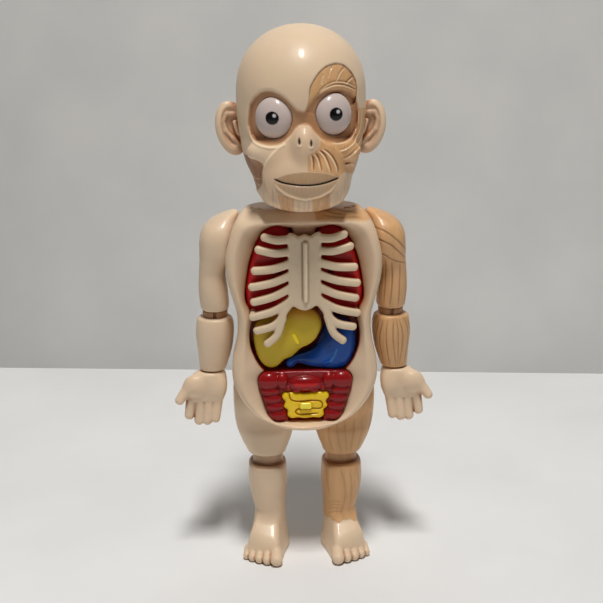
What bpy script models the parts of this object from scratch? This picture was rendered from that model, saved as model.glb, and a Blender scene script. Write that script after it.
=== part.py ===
"""Take-apart anatomy figure for children: a standing toy body with a dished chest that holds
removable organs behind a rib cage, a head that opens at the back, and jointed arms and legs.

Lengths are in millimetres and are scaled to metres when a mesh is made. The figure stands on z = 0,
faces -Y, and its own left side is +X. Its middle plane is x = 0.
"""

import math

import bmesh
import bpy
from mathutils import Matrix, Vector

MM = 0.001

# Driving dimensions
WALL = 1.6           # moulded wall of the torso and head shells
LIMB_WALL = 1.2      # moulded wall of the limbs
GAP = 0.3            # clearance between touching pieces
BODY_SEAM = 1.0      # y of the joint between the front and back body shells, and of the arms' seams
HEAD_SEAM = 2.0      # y of the joint between the face and the back of the skull
HIP_SEAM = 3.0       # y of the seam of the thighs, through the hip axis

SHOULDER = Vector((31.25, 1.0, 168.0))
SHOULDER_TILT = math.radians(6.0)   # the peg points outwards and a little back
HIP_Z = 82.0
NECK_Y = 2.0
ELBOW = Vector((44.3, 1.0, 129.0))
KNEE_X = 19.0
KNEE_Y = 2.0

HIP_BLOCK = 5.2        # half width of the solid block between the thighs
POCKET = 13.7          # radius of the pocket a thigh turns in
POCKET_FRONT = -10.8   # y of the front wall of that pocket
CHEST_FLOOR = -3.0     # y of the bottom of the chest and belly recess
BOWEL_FLOOR = -12.8    # y of the bottom of the shallower bowel recess
DISH_EDGE = -15.5      # y where the dish meets the recess
RIM_TOP = -23.0        # y of the crest of the rim around the dish

SKIN = (0.83, 0.66, 0.50)
MUSCLE = (0.66, 0.40, 0.22)
RED = (0.36, 0.01, 0.02)
YELLOW = (0.66, 0.50, 0.03)
BLUE = (0.01, 0.10, 0.42)
WHITE = (0.75, 0.72, 0.70)
PINK = (0.75, 0.42, 0.40)
STEEL = (0.55, 0.55, 0.56)


# ---------------------------------------------------------------- scene and materials

for leftover in list(bpy.data.objects):
    bpy.data.objects.remove(leftover)


def collection(name, hidden=False):
    made = bpy.data.collections.new(name)
    bpy.context.scene.collection.children.link(made)
    made.hide_render = hidden
    return made


FIGURE = collection("anatomy_figure")
CUTTERS = collection("cutters", hidden=True)


def plastic(name, colour, roughness=0.32, metallic=0.0):
    made = bpy.data.materials.new(name)
    made.use_nodes = True
    shader = made.node_tree.nodes["Principled BSDF"]
    shader.inputs["Base Color"].default_value = (*colour, 1.0)
    shader.inputs["Roughness"].default_value = roughness
    shader.inputs["Metallic"].default_value = metallic
    return made


MATERIALS = {
    "skin": plastic("skin", SKIN),
    "muscle": plastic("muscle", MUSCLE),
    "red": plastic("red", RED, 0.2),
    "yellow": plastic("yellow", YELLOW, 0.25),
    "blue": plastic("blue", BLUE, 0.25),
    "eye": plastic("eye", WHITE, 0.15),
    "brain": plastic("brain", PINK, 0.4),
    "steel": plastic("steel", STEEL, 0.3, 1.0),
}


# ---------------------------------------------------------------- mesh helpers

def add_mesh(name, points, faces, target=FIGURE):
    """An object made of points in millimetres."""
    mesh = bpy.data.meshes.new(name)
    mesh.from_pydata([Vector(p) * MM for p in points], [], faces)
    mesh.update()
    made = bpy.data.objects.new(name, mesh)
    target.objects.link(made)
    return made


def finish(made, material):
    made.data.materials.clear()
    made.data.materials.append(MATERIALS[material])
    made.data.shade_smooth()
    made.data.set_sharp_from_angle(angle=math.radians(40))
    return made


def helper(made):
    """Marks an object as a cutter, which is no part of the figure."""
    made.hide_render = True
    made.display_type = "WIRE"
    for holder in list(made.users_collection):
        holder.objects.unlink(made)
    CUTTERS.objects.link(made)
    return made


def baked(made):
    """Replaces the object's mesh with what its modifiers make of it."""
    graph = bpy.context.evaluated_depsgraph_get()
    graph.update()
    mesh = bpy.data.meshes.new_from_object(made.evaluated_get(graph))
    made.modifiers.clear()
    old = made.data
    made.data = mesh
    bpy.data.meshes.remove(old)
    return made


def copied(made, name, target=FIGURE):
    twin = bpy.data.objects.new(name, made.data.copy())
    twin.matrix_world = made.matrix_world.copy()
    target.objects.link(twin)
    return twin


def boolean(made, others, operation="DIFFERENCE"):
    """Cuts or joins each of the others in turn, and bakes the result."""
    for other in others:
        modifier = made.modifiers.new(operation.lower(), "BOOLEAN")
        modifier.operation = operation
        modifier.object = other
        modifier.solver = "EXACT"
    return baked(made)


def absorb(made, others):
    """Joins the others to the object and removes them."""
    boolean(made, others, "UNION")
    for other in others:
        bpy.data.objects.remove(other)
    return made


def thickened(made, wall):
    """Turns an open surface into a shell whose wall grows inwards."""
    modifier = made.modifiers.new("wall", "SOLIDIFY")
    modifier.thickness = wall * MM
    modifier.offset = -1.0
    modifier.use_even_offset = True
    modifier.use_quality_normals = True
    return baked(made)


def box(name, low, high):
    """A cutter box between two corners."""
    bpy.ops.mesh.primitive_cube_add(size=1.0)
    made = bpy.context.object
    made.name = name
    low, high = Vector(low) * MM, Vector(high) * MM
    made.data.transform(Matrix.Translation((low + high) / 2) @ Matrix.Diagonal((*(high - low), 1.0)))
    return helper(made)


def rod(name, start, end, radius, sides=20):
    """A cutter rod between two points."""
    start, end = Vector(start) * MM, Vector(end) * MM
    axis = end - start
    bpy.ops.mesh.primitive_cylinder_add(vertices=sides, radius=radius * MM, depth=axis.length)
    made = bpy.context.object
    made.name = name
    turn = axis.to_track_quat("Z", "Y").to_matrix().to_4x4()
    made.data.transform(Matrix.Translation((start + end) / 2) @ turn)
    return helper(made)


def turned(name, profile, base, axis, sides=20):
    """A turned piece: profile is (radius, height) from top to bottom down its outer side."""
    points = [Vector((r * MM, 0, h * MM)) for r, h in profile]
    mesh = bpy.data.meshes.new(name)
    mesh.from_pydata(points, [(i, i + 1) for i in range(len(points) - 1)], [])
    made = bpy.data.objects.new(name, mesh)
    FIGURE.objects.link(made)
    screw = made.modifiers.new("turn", "SCREW")
    screw.axis = "Z"
    screw.steps = sides
    screw.render_steps = sides
    screw.use_merge_vertices = True
    screw.merge_threshold = 0.00001
    baked(made)
    place = Matrix.Translation(Vector(base) * MM) @ Vector(axis).to_track_quat("Z", "Y").to_matrix().to_4x4()
    made.data.transform(place)
    return made


def mirrored(made, name):
    """A copy on the figure's other side."""
    twin = copied(made, name)
    twin.data.transform(Matrix.Diagonal((-1, 1, 1, 1)))
    twin.data.flip_normals()
    return twin


# ---------------------------------------------------------------- curves and lofts

def catmull(rows, steps, closed=False):
    """A smooth curve through rows of numbers, with that many steps to each stretch."""
    count = len(rows)
    stretches = count if closed else count - 1
    curve = []
    for i in range(stretches):
        if closed:
            a, b, c, d = (rows[(i + k) % count] for k in (-1, 0, 1, 2))
        else:
            a, b, c, d = (rows[min(max(i + k, 0), count - 1)] for k in (-1, 0, 1, 2))
        for s in range(steps):
            t = s / steps
            curve.append(tuple(
                0.5 * (2 * q + (r - p) * t + (2 * p - 5 * q + 4 * r - w) * t * t
                       + (3 * q - p - 3 * r + w) * t ** 3)
                for p, q, r, w in zip(a, b, c, d)))
    if not closed:
        curve.append(tuple(rows[-1]))
    return curve


def power(value, exponent):
    return math.copysign(abs(value) ** exponent, value)


def oval(z, x_in, x_out, y_front, y_mid, y_back, roundness, sides):
    """A level ring of a limb: widest at y_mid, with its own depth in front and behind."""
    centre, half = (x_in + x_out) / 2, (x_out - x_in) / 2
    ring = []
    for i in range(sides):
        angle = 2 * math.pi * i / sides
        depth = (y_back - y_mid) if math.sin(angle) > 0 else (y_mid - y_front)
        ring.append((centre + half * power(math.cos(angle), 2 / roundness),
                     y_mid + depth * power(math.sin(angle), 2 / roundness), z))
    return ring


def loft(name, rings, cap_first=True, cap_last=True, target=FIGURE):
    """A surface through closed rings of equal length, the first ring lowest."""
    count = len(rings[0])
    points = [p for ring in rings for p in ring]
    faces = []
    for r in range(len(rings) - 1):
        for i in range(count):
            j = (i + 1) % count
            faces.append((r * count + i, r * count + j, (r + 1) * count + j, (r + 1) * count + i))
    if cap_first:
        faces.append(tuple(reversed(range(count))))
    if cap_last:
        faces.append(tuple(range((len(rings) - 1) * count, len(rings) * count)))
    return add_mesh(name, points, faces, target)


def limb(name, rows, steps, sides, cap_first, cap_last):
    """A limb lofted through rows of (z, x_in, x_out, y_front, y_back, roundness) from low to high."""
    rings = []
    for z, x_in, x_out, front, mid, back, roundness in catmull(rows, steps):
        rings.append(oval(z, x_in, x_out, front, mid, back, roundness, sides))
    return loft(name, rings, cap_first, cap_last)


def split(shell, seam, front_name, back_name):
    """Cuts a shell at a seam across y and returns its front and back halves."""
    far = 400
    behind = box(shell.name + "_behind", (-far, seam - GAP / 2, -far), (far, far, far))
    ahead = box(shell.name + "_ahead", (-far, -far, -far), (far, seam + GAP / 2, far))
    front = boolean(copied(shell, front_name), [behind])
    back = boolean(copied(shell, back_name), [ahead])
    bpy.data.objects.remove(shell)
    return front, back


def plate_loft(name, rings, target=CUTTERS):
    """A solid through (y, outline) rings, front to back, where an outline is a list of (x, z)."""
    made = loft(name, [[(x, y, z) for x, z in outline] for y, outline in rings], target=target)
    mesh = bmesh.new()
    mesh.from_mesh(made.data)
    bmesh.ops.recalc_face_normals(mesh, faces=mesh.faces)
    mesh.to_mesh(made.data)
    mesh.free()
    return made


def both_sides(half, steps):
    """A closed outline from its half with x >= 0, which runs from the top middle to the bottom middle."""
    right = catmull(half, steps)
    return right + [(-x, z) for x, z in reversed(right[1:-1])]


def grown(outline, by):
    """The outline moved outwards by a distance, or inwards where it is negative."""
    area = sum(a[0] * b[1] - b[0] * a[1] for a, b in zip(outline, outline[1:] + outline[:1]))
    sign = 1 if area > 0 else -1
    moved = []
    for before, point, after in zip(outline[-1:] + outline[:-1], outline, outline[1:] + outline[:1]):
        along = Vector((after[0] - before[0], after[1] - before[1])).normalized()
        moved.append((point[0] + sign * along.y * by, point[1] - sign * along.x * by))
    return moved


# ---------------------------------------------------------------- head

# (z, half width, y_front, y_mid, y_back, roundness)
HEAD_ROWS = [
    (184.9, 6.0, -27.0, -22.0, -17.0, 2.0),
    (185.7, 11.5, -30.5, -20.0, -11.0, 2.1),
    (188.5, 18.8, -33.5, -17.0, -1.0, 2.2),
    (193.0, 21.4, -35.5, -13.0, 11.0, 2.2),
    (199.0, 23.0, -36.5, -9.0, 19.0, 2.2),
    (206.0, 26.4, -36.2, -4.4, 25.4, 2.2),
    (212.0, 28.2, -33.5, -1.0, 29.4, 2.15),
    (217.0, 29.6, -31.0, 0.8, 31.8, 2.1),
    (222.0, 30.4, -29.0, 1.8, 35.6, 2.1),
    (228.0, 31.0, -28.6, 2.4, 37.6, 2.1),
    (235.0, 31.3, -29.8, 3.0, 38.5, 2.1),
    (241.0, 30.9, -29.4, 3.0, 37.8, 2.1),
    (248.0, 29.4, -27.4, 3.0, 34.8, 2.05),
    (256.0, 25.4, -22.6, 3.0, 29.4, 2.0),
    (263.0, 19.4, -16.2, 3.0, 22.6, 2.0),
    (267.8, 12.0, -8.6, 3.0, 14.8, 2.0),
    (270.0, 2.5, 0.5, 3.0, 5.5, 2.0),
]
EYE = Vector((14.4, -18.6, 229.6))
EYE_RADIUS = 10.3
SOCKET_RADIUS = 12.5
SOCKET_DEPTH = 3.6


def smooth(value):
    """Eases 0 to 1."""
    value = min(max(value, 0.0), 1.0)
    return value * value * (3 - 2 * value)


def face_relief(x, z):
    """How far the face stands forward of its plain oval at (x, z)."""
    relief = 0.0
    across = math.hypot((abs(x) - EYE.x) / SOCKET_RADIUS, (z - EYE.z) / SOCKET_RADIUS)
    relief -= SOCKET_DEPTH * smooth((1.25 - across) / 0.5)
    muzzle = math.hypot(x / 19.0, (z - 201.0) / 16.5)
    relief += 2.0 * smooth((1.1 - muzzle) / 0.5)
    nose = math.hypot(x / 8.0, (z - 218.5) / 8.0)
    relief += 4.2 * smooth((1.15 - nose) / 0.9)
    return relief


def make_head():
    rings = []
    for z, half, front, mid, back, roundness in HEAD_ROWS:
        ring = oval(z, -half, half, front, mid, back, roundness, 28)
        rings.append([(x, y - face_relief(x, z) if y < mid - 6 else y, z_) for x, y, z_ in ring])
    head = thickened(loft("head", rings), WALL)
    neck = rod("neck_collar", (0, NECK_Y, 185.0), (0, NECK_Y, 197.0), 11.4)
    boolean(head, [neck], "UNION")
    boolean(head, [rod("neck_socket", (0, NECK_Y, 191.0), (0, NECK_Y, 205), 8.2),
                   rod("head_neck_hole", (0, NECK_Y, 180), (0, NECK_Y, 195), 6.0)])
    face, skull = split(head, HEAD_SEAM, "face_shell", "skull_back")

    for side, word in ((1, "left"), (-1, "right")):
        centre = Vector((side * EYE.x, EYE.y, EYE.z))
        boolean(face, [ball("eye_seat_" + word, centre, EYE_RADIUS + GAP)])
        eye = ball("eye_" + word, centre, EYE_RADIUS, FIGURE)
        back = box("eye_back_" + word, (-60, EYE.y + 0.5, 200), (60, 60, 260))
        finish(boolean(eye, [back]), "eye")

    ear = make_ear("ear_left_form")
    absorb(skull, [ear, mirrored(ear, "ear_right_form")])
    finish(face, "skin")
    finish(skull, "skin")


def ball(name, centre, radius, target=CUTTERS):
    bpy.ops.mesh.primitive_uv_sphere_add(segments=18, ring_count=10, radius=radius * MM)
    made = bpy.context.object
    made.name = name
    turn = Matrix.Rotation(math.radians(90), 4, "X")
    made.data.transform(Matrix.Translation(Vector(centre) * MM) @ turn)
    if target is CUTTERS:
        return helper(made)
    for holder in list(made.users_collection):
        holder.objects.unlink(made)
    target.objects.link(made)
    return made


EAR = Vector((33.0, 8.0, 220.4))
EAR_SIZE = Vector((8.0, 3.4, 13.6))
EAR_LEAN = math.radians(12)


def make_ear(name):
    """A thick oval that leans out from the side of the skull, hollowed in front."""
    made = ball(name, (0, 0, 0), 1.0, FIGURE)
    bowl = ball(name + "_bowl", (0.1, -1.1, 0.05), 1.0)
    for part, share in ((made, 1.0), (bowl, 0.72)):
        part.data.transform(Matrix.Translation(EAR * MM) @ Matrix.Rotation(EAR_LEAN, 4, "Y")
                            @ Matrix.Diagonal((*(EAR_SIZE * share), 1.0)))
    return boolean(made, [bowl])


def make_brain():
    """Two halves that fill the back of the skull."""
    rows = [
        (219.0, 1.0, 10.0, -4.0, 9.0, 22.0, 2.2),
        (222.5, 0.6, 19.0, -11.0, 9.0, 28.0, 2.3),
        (233.0, 0.6, 25.0, -15.5, 8.0, 30.0, 2.3),
        (244.0, 0.6, 24.0, -16.5, 7.0, 28.0, 2.3),
        (254.0, 0.6, 17.5, -13.0, 6.0, 21.0, 2.2),
        (260.0, 0.8, 7.0, -2.0, 5.0, 12.0, 2.0),
    ]
    rings = []
    for z, x_in, x_out, front, mid, back, roundness in rows:
        full = oval(z, -x_out, x_out, front, mid, back, roundness, 20)
        rings.append([(max(x, x_in), y, z_) for x, y, z_ in full])
    left = loft("brain_left", rings)
    weld_flat(left)
    finish(left, "brain")
    finish(mirrored(left, "brain_right"), "brain")


def weld_flat(made):
    """Merges the points that a clamp has pressed onto each other."""
    mesh = bmesh.new()
    mesh.from_mesh(made.data)
    bmesh.ops.remove_doubles(mesh, verts=mesh.verts, dist=0.00002)
    bmesh.ops.dissolve_degenerate(mesh, edges=mesh.edges, dist=0.00002)
    bmesh.ops.recalc_face_normals(mesh, faces=mesh.faces)
    mesh.to_mesh(made.data)
    mesh.free()


# ---------------------------------------------------------------- torso

# (z, half width, y_front, y_mid, y_back, roundness)
TORSO_ROWS = [
    (73.4, 6.0, -22.0, -12.0, -2.0, 2.6),
    (74.2, 13.5, -23.0, -12.0, 8.0, 2.6),
    (78.5, 23.4, -23.5, -12.0, 15.0, 2.8),
    (85.0, 29.8, -23.6, -12.0, 18.0, 3.0),
    (91.0, 33.4, -23.6, -12.0, 19.5, 3.0),
    (98.5, 36.0, -23.6, -11.0, 20.0, 3.0),
    (108.0, 35.8, -23.3, -10.0, 18.5, 3.0),
    (120.0, 33.3, -23.0, -10.0, 16.5, 3.0),
    (131.0, 33.0, -23.4, -11.0, 17.0, 3.0),
    (141.0, 35.4, -23.9, -12.0, 18.5, 3.0),
    (150.0, 37.6, -24.3, -12.0, 20.0, 3.0),
    (160.0, 38.1, -24.4, -12.0, 21.0, 3.0),
    (170.0, 36.0, -24.0, -12.0, 20.5, 2.9),
    (177.0, 33.4, -22.6, -11.0, 18.5, 2.8),
    (181.0, 30.6, -19.0, -8.0, 16.0, 2.6),
    (183.4, 27.2, -15.5, -4.0, 14.5, 2.4),
    (184.3, 20.0, -10.5, 0.0, 12.5, 2.2),
]
# Half outlines (x, z) from the top middle to the bottom middle
RIM = [(0, 178.0), (16, 178.0), (28, 176.8), (33.2, 171.5), (35.8, 160.0), (35.2, 149.0), (32.6, 139.0),
       (30.4, 129.0), (31.0, 119.0), (33.4, 107.0), (33.4, 97.0), (29.8, 88.0),
       (22.5, 80.4), (12, 76.4), (0, 75.8)]
OPENING = [(0, 174.6), (7, 174.8), (14, 176.2), (20.5, 172.6), (25.6, 162.0), (28.2, 150.0), (29.0, 139.0),
           (25.6, 131.6), (27.3, 122.0), (26.0, 112.5), (20.0, 103.4),
           (23.6, 98.5), (21.6, 89.5), (16.8, 78.0), (0, 76.6)]
CHEST = OPENING[:10] + [(20.0, 102.8), (10, 101.6), (0, 101.4)]
BOWEL = [(0, 104.0), (12, 104.0), (20.0, 103.0), (23.6, 98.5), (21.6, 89.5), (16.8, 78.0), (9, 76.6),
         (0, 76.4)]
STEPS = 2


def torso_body(name, shrink, sides):
    """The whole torso as a solid, shrunk on all sides by a distance."""
    rings = []
    rows = TORSO_ROWS
    for z, half, front, mid, back, roundness in rows:
        half, front, back = half - shrink, front + shrink, back - shrink
        lean = (z - rows[0][0]) / (rows[-1][0] - rows[0][0])
        level = z + shrink * (1 - 2 * lean)
        rings.append(oval(level, -half, half, front, mid, back, roundness, sides))
    return loft(name, rings, target=FIGURE)


def front_hollow(prefix, extra):
    """The dish and the recesses as cutters, grown by the wall for the back of the skin."""
    steps = 1 if extra else STEPS
    rim = grown(both_sides(RIM, steps), extra)
    opening = grown(both_sides(OPENING, steps), extra)
    middle = [((a[0] + b[0]) / 2, (a[1] + b[1]) / 2) for a, b in zip(rim, opening)]
    dish = plate_loft(prefix + "_dish", [
        (-40, grown(rim, 1.5)), (RIM_TOP + extra, grown(rim, 1.5)), (RIM_TOP + 2.2 + extra, rim),
        (-18.4 + extra, middle), (DISH_EDGE + extra, opening)])
    chest = plate_loft(prefix + "_chest", [
        (-20, grown(both_sides(CHEST, steps), extra)),
        (CHEST_FLOOR + extra, grown(both_sides(CHEST, steps), extra - 0.8))])
    bowel = plate_loft(prefix + "_bowel", [
        (-20, grown(both_sides(BOWEL, steps), extra)),
        (BOWEL_FLOOR + extra, grown(both_sides(BOWEL, steps), extra - 0.5))])
    return [helper(dish), helper(chest), helper(bowel)]


def shoulder_axis(side):
    return Vector((side * math.cos(SHOULDER_TILT), math.sin(SHOULDER_TILT), 0))


def arm_seats(prefix, extra):
    """Cutters for the seats of the arms, grown by the wall for the inside."""
    cutters = []
    for side, word in ((1, "left"), (-1, "right")):
        seat = Vector((side * SHOULDER.x, SHOULDER.y, SHOULDER.z))
        axis = shoulder_axis(side)
        cutters.append(rod(f"{prefix}_arm_{word}", seat - axis * (GAP / 2 + extra), seat + axis * 30,
                           18.6 + extra, 16 if extra else 28))
    return cutters


def thigh_pockets():
    """Cutters for the pockets the thighs turn in, on either side of the solid crotch block."""
    cutters = []
    for side, word in ((1, "left"), (-1, "right")):
        inner, outer = side * HIP_BLOCK, side * 60
        cutters.append(
            rod("pocket_round_" + word, (inner, HIP_SEAM, HIP_Z), (outer, HIP_SEAM, HIP_Z), POCKET, 28))
        cutters.append(box("pocket_open_" + word, (min(inner, outer), POCKET_FRONT, 40),
                           (max(inner, outer), 60, HIP_Z)))
    return cutters


PEG_SIDES = 6
# Where each removable piece plugs into the torso: (x, z, y of the floor)
PEGS = {
    "lung_left": (17.5, 152.0, CHEST_FLOOR),
    "lung_right": (-17.5, 152.0, CHEST_FLOOR),
    "heart": (0.0, 150.0, CHEST_FLOOR),
    "kidney_left": (15.5, 117.0, CHEST_FLOOR),
    "kidney_right": (-15.5, 117.0, CHEST_FLOOR),
    "liver": (-5.0, 128.0, CHEST_FLOOR),
    "stomach": (9.0, 108.5, CHEST_FLOOR),
    "small_intestine": (0.0, 85.5, BOWEL_FLOOR),
    "large_intestine": (0.0, 97.6, BOWEL_FLOOR),
}
PEG_RADIUS = 1.5
RIB_PEG = (27.3, 133.2)     # x and z of the two pegs under the lowest long ribs
SCREWS = [(20.0, 160.0), (20.0, 122.0), (0.0, 140.0), (0.0, 108.0)]


def screw_places():
    """(name, x, z) of the screws that hold the two body shells together."""
    places = []
    for x, z in SCREWS:
        if x:
            places.append((f"screw_left_{z:.0f}", x, z))
            places.append((f"screw_right_{z:.0f}", -x, z))
        else:
            places.append((f"screw_middle_{z:.0f}", x, z))
    return places


def make_torso():
    solid = torso_body("torso", 0.0, 32)
    boolean(solid, front_hollow("skin", 0.0) + arm_seats("skin", 0.0) + thigh_pockets())
    hollow = torso_body("torso_hollow", WALL, 20)
    crotch = box("solid_crotch", (-60, -60, 40), (60, 60, 79.0))
    hips = box("solid_hips", (-60, POCKET_FRONT - WALL, 40), (60, 60, HIP_Z + POCKET + WALL))
    boolean(hollow, front_hollow("lining", WALL) + arm_seats("lining", WALL) + [hips, crotch])
    helper(hollow)

    holes = [rod("torso_neck_hole", (0, NECK_Y, 175), (0, NECK_Y, 200), 6.0),
             rod("hip_hole", (-20, HIP_SEAM, HIP_Z), (20, HIP_SEAM, HIP_Z), 2.8, 16)]
    for side, word in ((1, "left"), (-1, "right")):
        seat = Vector((side * SHOULDER.x, SHOULDER.y, SHOULDER.z))
        axis = shoulder_axis(side)
        holes.append(rod("shoulder_hole_" + word, seat - axis * 6, seat + axis * 6, 3.8, 16))
        holes.append(rod("rib_hole_" + word, (side * RIB_PEG[0], -22, RIB_PEG[1]),
                         (side * RIB_PEG[0], -10, RIB_PEG[1]), PEG_RADIUS + GAP, PEG_SIDES))
    for piece, (x, z, floor) in PEGS.items():
        holes.append(
            rod("hole_for_" + piece, (x, floor - 4, z), (x, floor + 3, z), PEG_RADIUS + GAP, PEG_SIDES))
    boolean(solid, [hollow] + holes)
    front, back = split(solid, BODY_SEAM, "torso_front", "torso_back")

    for name, x, z in screw_places():
        make_screw(name, x, z, front, back)
    finish(front, "skin")
    finish(back, "skin")


def make_screw(name, x, z, front, back):
    """A self-tapping screw with its post and countersink in the back shell."""
    deep = back_depth(x, z)
    post = rod(name + "_post", (x, BODY_SEAM + GAP / 2 + 0.01, z), (x, deep - 0.8, z), 3.6, 8)
    stub = rod(name + "_stub", (x, CHEST_FLOOR + 0.9, z), (x, BODY_SEAM - GAP / 2 - 0.01, z), 3.0, 8)
    boolean(back, [post], "UNION")
    boolean(front, [stub], "UNION")
    boolean(back, [rod(name + "_well", (x, deep - 4.0, z), (x, deep + 6, z), 2.6, 8),
                   rod(name + "_bore", (x, -1, z), (x, deep + 1, z), 1.3, 8)])
    boolean(front, [rod(name + "_pilot", (x, CHEST_FLOOR + 1.4, z), (x, 3, z), 1.3, 8)])
    head = deep - 4.0 - GAP
    screw = turned(name, [(0.0, 1.7), (1.6, 1.5), (2.1, 0.6), (2.1, 0.0), (1.0, -0.01), (1.0, -head + 0.6),
                          (0.0, -head - 0.4)],
                   (x, deep - 4.0 + GAP, z), (0, 1, 0), 8)
    finish(screw, "steel")


def back_depth(x, z):
    """y of the torso's back surface at (x, z)."""
    for low, high in zip(TORSO_ROWS, TORSO_ROWS[1:]):
        if low[0] <= z <= high[0]:
            part = (z - low[0]) / (high[0] - low[0])
            half, _, mid, back, roundness = (a + (b - a) * part for a, b in zip(low[1:], high[1:]))
            share = max(0.0, 1 - (abs(x) / half) ** roundness) ** (1 / roundness)
            return mid + (back - mid) * share
    return 0.0


def make_pegs():
    """The neck, shoulder and hip pivots: flanged pegs that snap into both pieces."""
    neck = turned("neck_peg", [(0, 14.2), (7.6, 14.2), (7.6, 12.2), (5.6, 11.4), (5.6, 2.8), (8.2, 2.2),
                               (8.2, 0), (0, 0)],
                  (0, NECK_Y, 179.8), (0, 0, 1), 16)
    finish(neck, "skin")
    for side, word in ((1, "left"), (-1, "right")):
        seat = Vector((side * SHOULDER.x, SHOULDER.y, SHOULDER.z))
        peg = turned("shoulder_peg_" + word,
                     [(0, 5.2), (5.6, 5.2), (6.0, 2.6), (3.5, 2.3), (3.5, -2.4), (6.0, -2.6), (6.0, -4.6),
                      (0, -4.6)],
                     seat, shoulder_axis(side), 16)
        finish(peg, "skin")
    axle = turned("hip_axle", [(0, 10.2), (3.6, 10.2), (4.4, 8.0), (2.5, 7.6), (2.5, -7.6), (4.4, -8.0),
                               (3.6, -10.2), (0, -10.2)],
                  (0, HIP_SEAM, HIP_Z), (1, 0, 0), 16)
    finish(axle, "skin")


# ---------------------------------------------------------------- arms

# (z, x_in, x_out, y_front, y_mid, y_back, roundness) of the left limbs, from low to high
UPPER_ARM = [
    (131.2, 37.5, 50.9, -7.4, 1.0, 8.8, 2.2),
    (133.5, 37.2, 51.5, -8.4, 1.0, 9.8, 2.3),
    (141.0, 37.6, 52.2, -9.4, 1.0, 10.8, 2.3),
    (149.6, 38.3, 51.6, -9.4, 1.0, 11.0, 2.4),
    (154.0, 36.6, 50.7, -10.2, 1.0, 12.0, 2.5),
    (157.5, 33.4, 50.6, -11.2, 1.0, 13.0, 2.5),
    (161.0, 31.7, 50.8, -12.2, 1.0, 14.2, 2.6),
    (168.0, 31.5, 51.0, -13.3, 1.0, 15.3, 2.6),
    (174.5, 31.6, 49.6, -11.8, 1.0, 13.8, 2.5),
    (179.0, 31.8, 45.8, -8.2, 1.0, 10.2, 2.4),
    (181.6, 32.2, 40.6, -4.2, 1.0, 6.2, 2.2),
    (182.5, 34.0, 37.4, -0.8, 1.0, 2.8, 2.0),
]
FOREARM = [
    (99.3, 39.9, 52.9, -4.8, 1.0, 6.2, 2.1),
    (104.0, 38.2, 53.2, -6.0, 1.0, 7.6, 2.1),
    (110.0, 36.4, 53.6, -7.0, 1.0, 9.0, 2.1),
    (116.5, 35.3, 54.2, -7.8, 1.0, 9.8, 2.1),
    (122.5, 35.0, 54.0, -8.0, 1.0, 10.0, 2.1),
    (127.0, 35.9, 53.0, -7.4, 1.0, 9.4, 2.1),
    (128.9, 37.9, 50.7, -5.5, 1.0, 7.4, 2.0),
]


def tilt_shoulder(made):
    """Leans the inner face of the arm so that it lies square to its peg."""
    for vertex in made.data.vertices:
        inner = smooth((0.040 - vertex.co.x) / 0.008)
        vertex.co.x -= inner * (vertex.co.y - SHOULDER.y * MM) * math.tan(SHOULDER_TILT)


def make_arm():
    upper = limb("upper_arm", UPPER_ARM, 1, 18, cap_first=False, cap_last=True)
    tilt_shoulder(upper)
    thickened(upper, LIMB_WALL)
    boolean(upper, [rod("arm_peg_hole", SHOULDER, SHOULDER + shoulder_axis(1) * 5, 3.8, 16)])
    halves = list(split(upper, BODY_SEAM, "upper_arm_left_front", "upper_arm_left_back"))

    fore = thickened(limb("forearm", FOREARM, 1, 18, cap_first=False, cap_last=False), LIMB_WALL)
    halves += split(fore, BODY_SEAM, "forearm_left_front", "forearm_left_back")

    peg = turned("elbow_peg_left",
                 [(0, 11.0), (4.2, 11.0), (5.2, 9.6), (4.4, 8.4), (4.4, 5.6), (5.0, 4.6), (5.0, -1.8),
                  (6.4, -2.4), (6.4, -4.8), (0, -4.8)],
                 ELBOW, (0, 0, 1), 16)
    boolean(peg, [box("elbow_slot", (30, 0.4, 134.5), (60, 1.6, 145))])
    pieces = halves + [peg, make_hand()]
    for piece in pieces:
        finish(piece, "muscle" if "arm" in piece.name else "skin")
        finish(mirrored(piece, piece.name.replace("_left", "_right")), "skin")


PALM = [
    (86.5, 41.2, 59.6, -4.6, -1.2, 2.2, 2.3),
    (89.0, 39.8, 60.6, -5.4, -1.0, 3.4, 2.4),
    (93.0, 39.2, 60.2, -6.0, -0.6, 4.6, 2.4),
    (96.5, 39.6, 57.0, -5.8, 0.2, 5.6, 2.3),
    (98.9, 40.6, 53.6, -4.6, 0.8, 5.8, 2.2),
]
FINGERS = [(43.9, 87.5, 45.2, 75.2), (48.4, 87.5, 49.5, 73.6), (52.9, 87.5, 53.9, 73.8),
           (57.2, 87.5, 58.2, 76.2)]
FINGER_RADIUS = 2.35
THUMB = (57.5, 92.5, 62.9, 85.2)
THUMB_RADIUS = 2.6


def capsule(name, start, end, radius, sides=8):
    """A rod with rounded ends, as its own solid."""
    start, end = Vector(start), Vector(end)
    length = (end - start).length
    profile = [(0, length + radius * 0.95), (radius * 0.7, length + radius * 0.6), (radius, length),
               (radius, 0), (radius * 0.7, -radius * 0.6), (0, -radius * 0.95)]
    return turned(name, profile, start, end - start, sides)


def make_hand():
    """Palm, four fingers, thumb and the plug that the forearm closes on."""
    hand = limb("hand_left", PALM, 1, 16, True, True)
    parts = [capsule(f"finger_{i}", (x0, -1.6, z0), (x1, -2.0, z1), FINGER_RADIUS)
             for i, (x0, z0, x1, z1) in enumerate(FINGERS)]
    parts.append(capsule("thumb", (THUMB[0], -2.0, THUMB[1]), (THUMB[2], -4.4, THUMB[3]), THUMB_RADIUS))
    parts.append(limb("wrist_plug", [(97.5, 42.0, 50.8, -2.6, 1.0, 4.0, 2.0),
                                     (103.0, 42.2, 50.6, -2.6, 1.0, 4.0, 2.0)],
                      1, 12, True, True))
    return absorb(hand, parts)


# ---------------------------------------------------------------- legs

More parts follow.
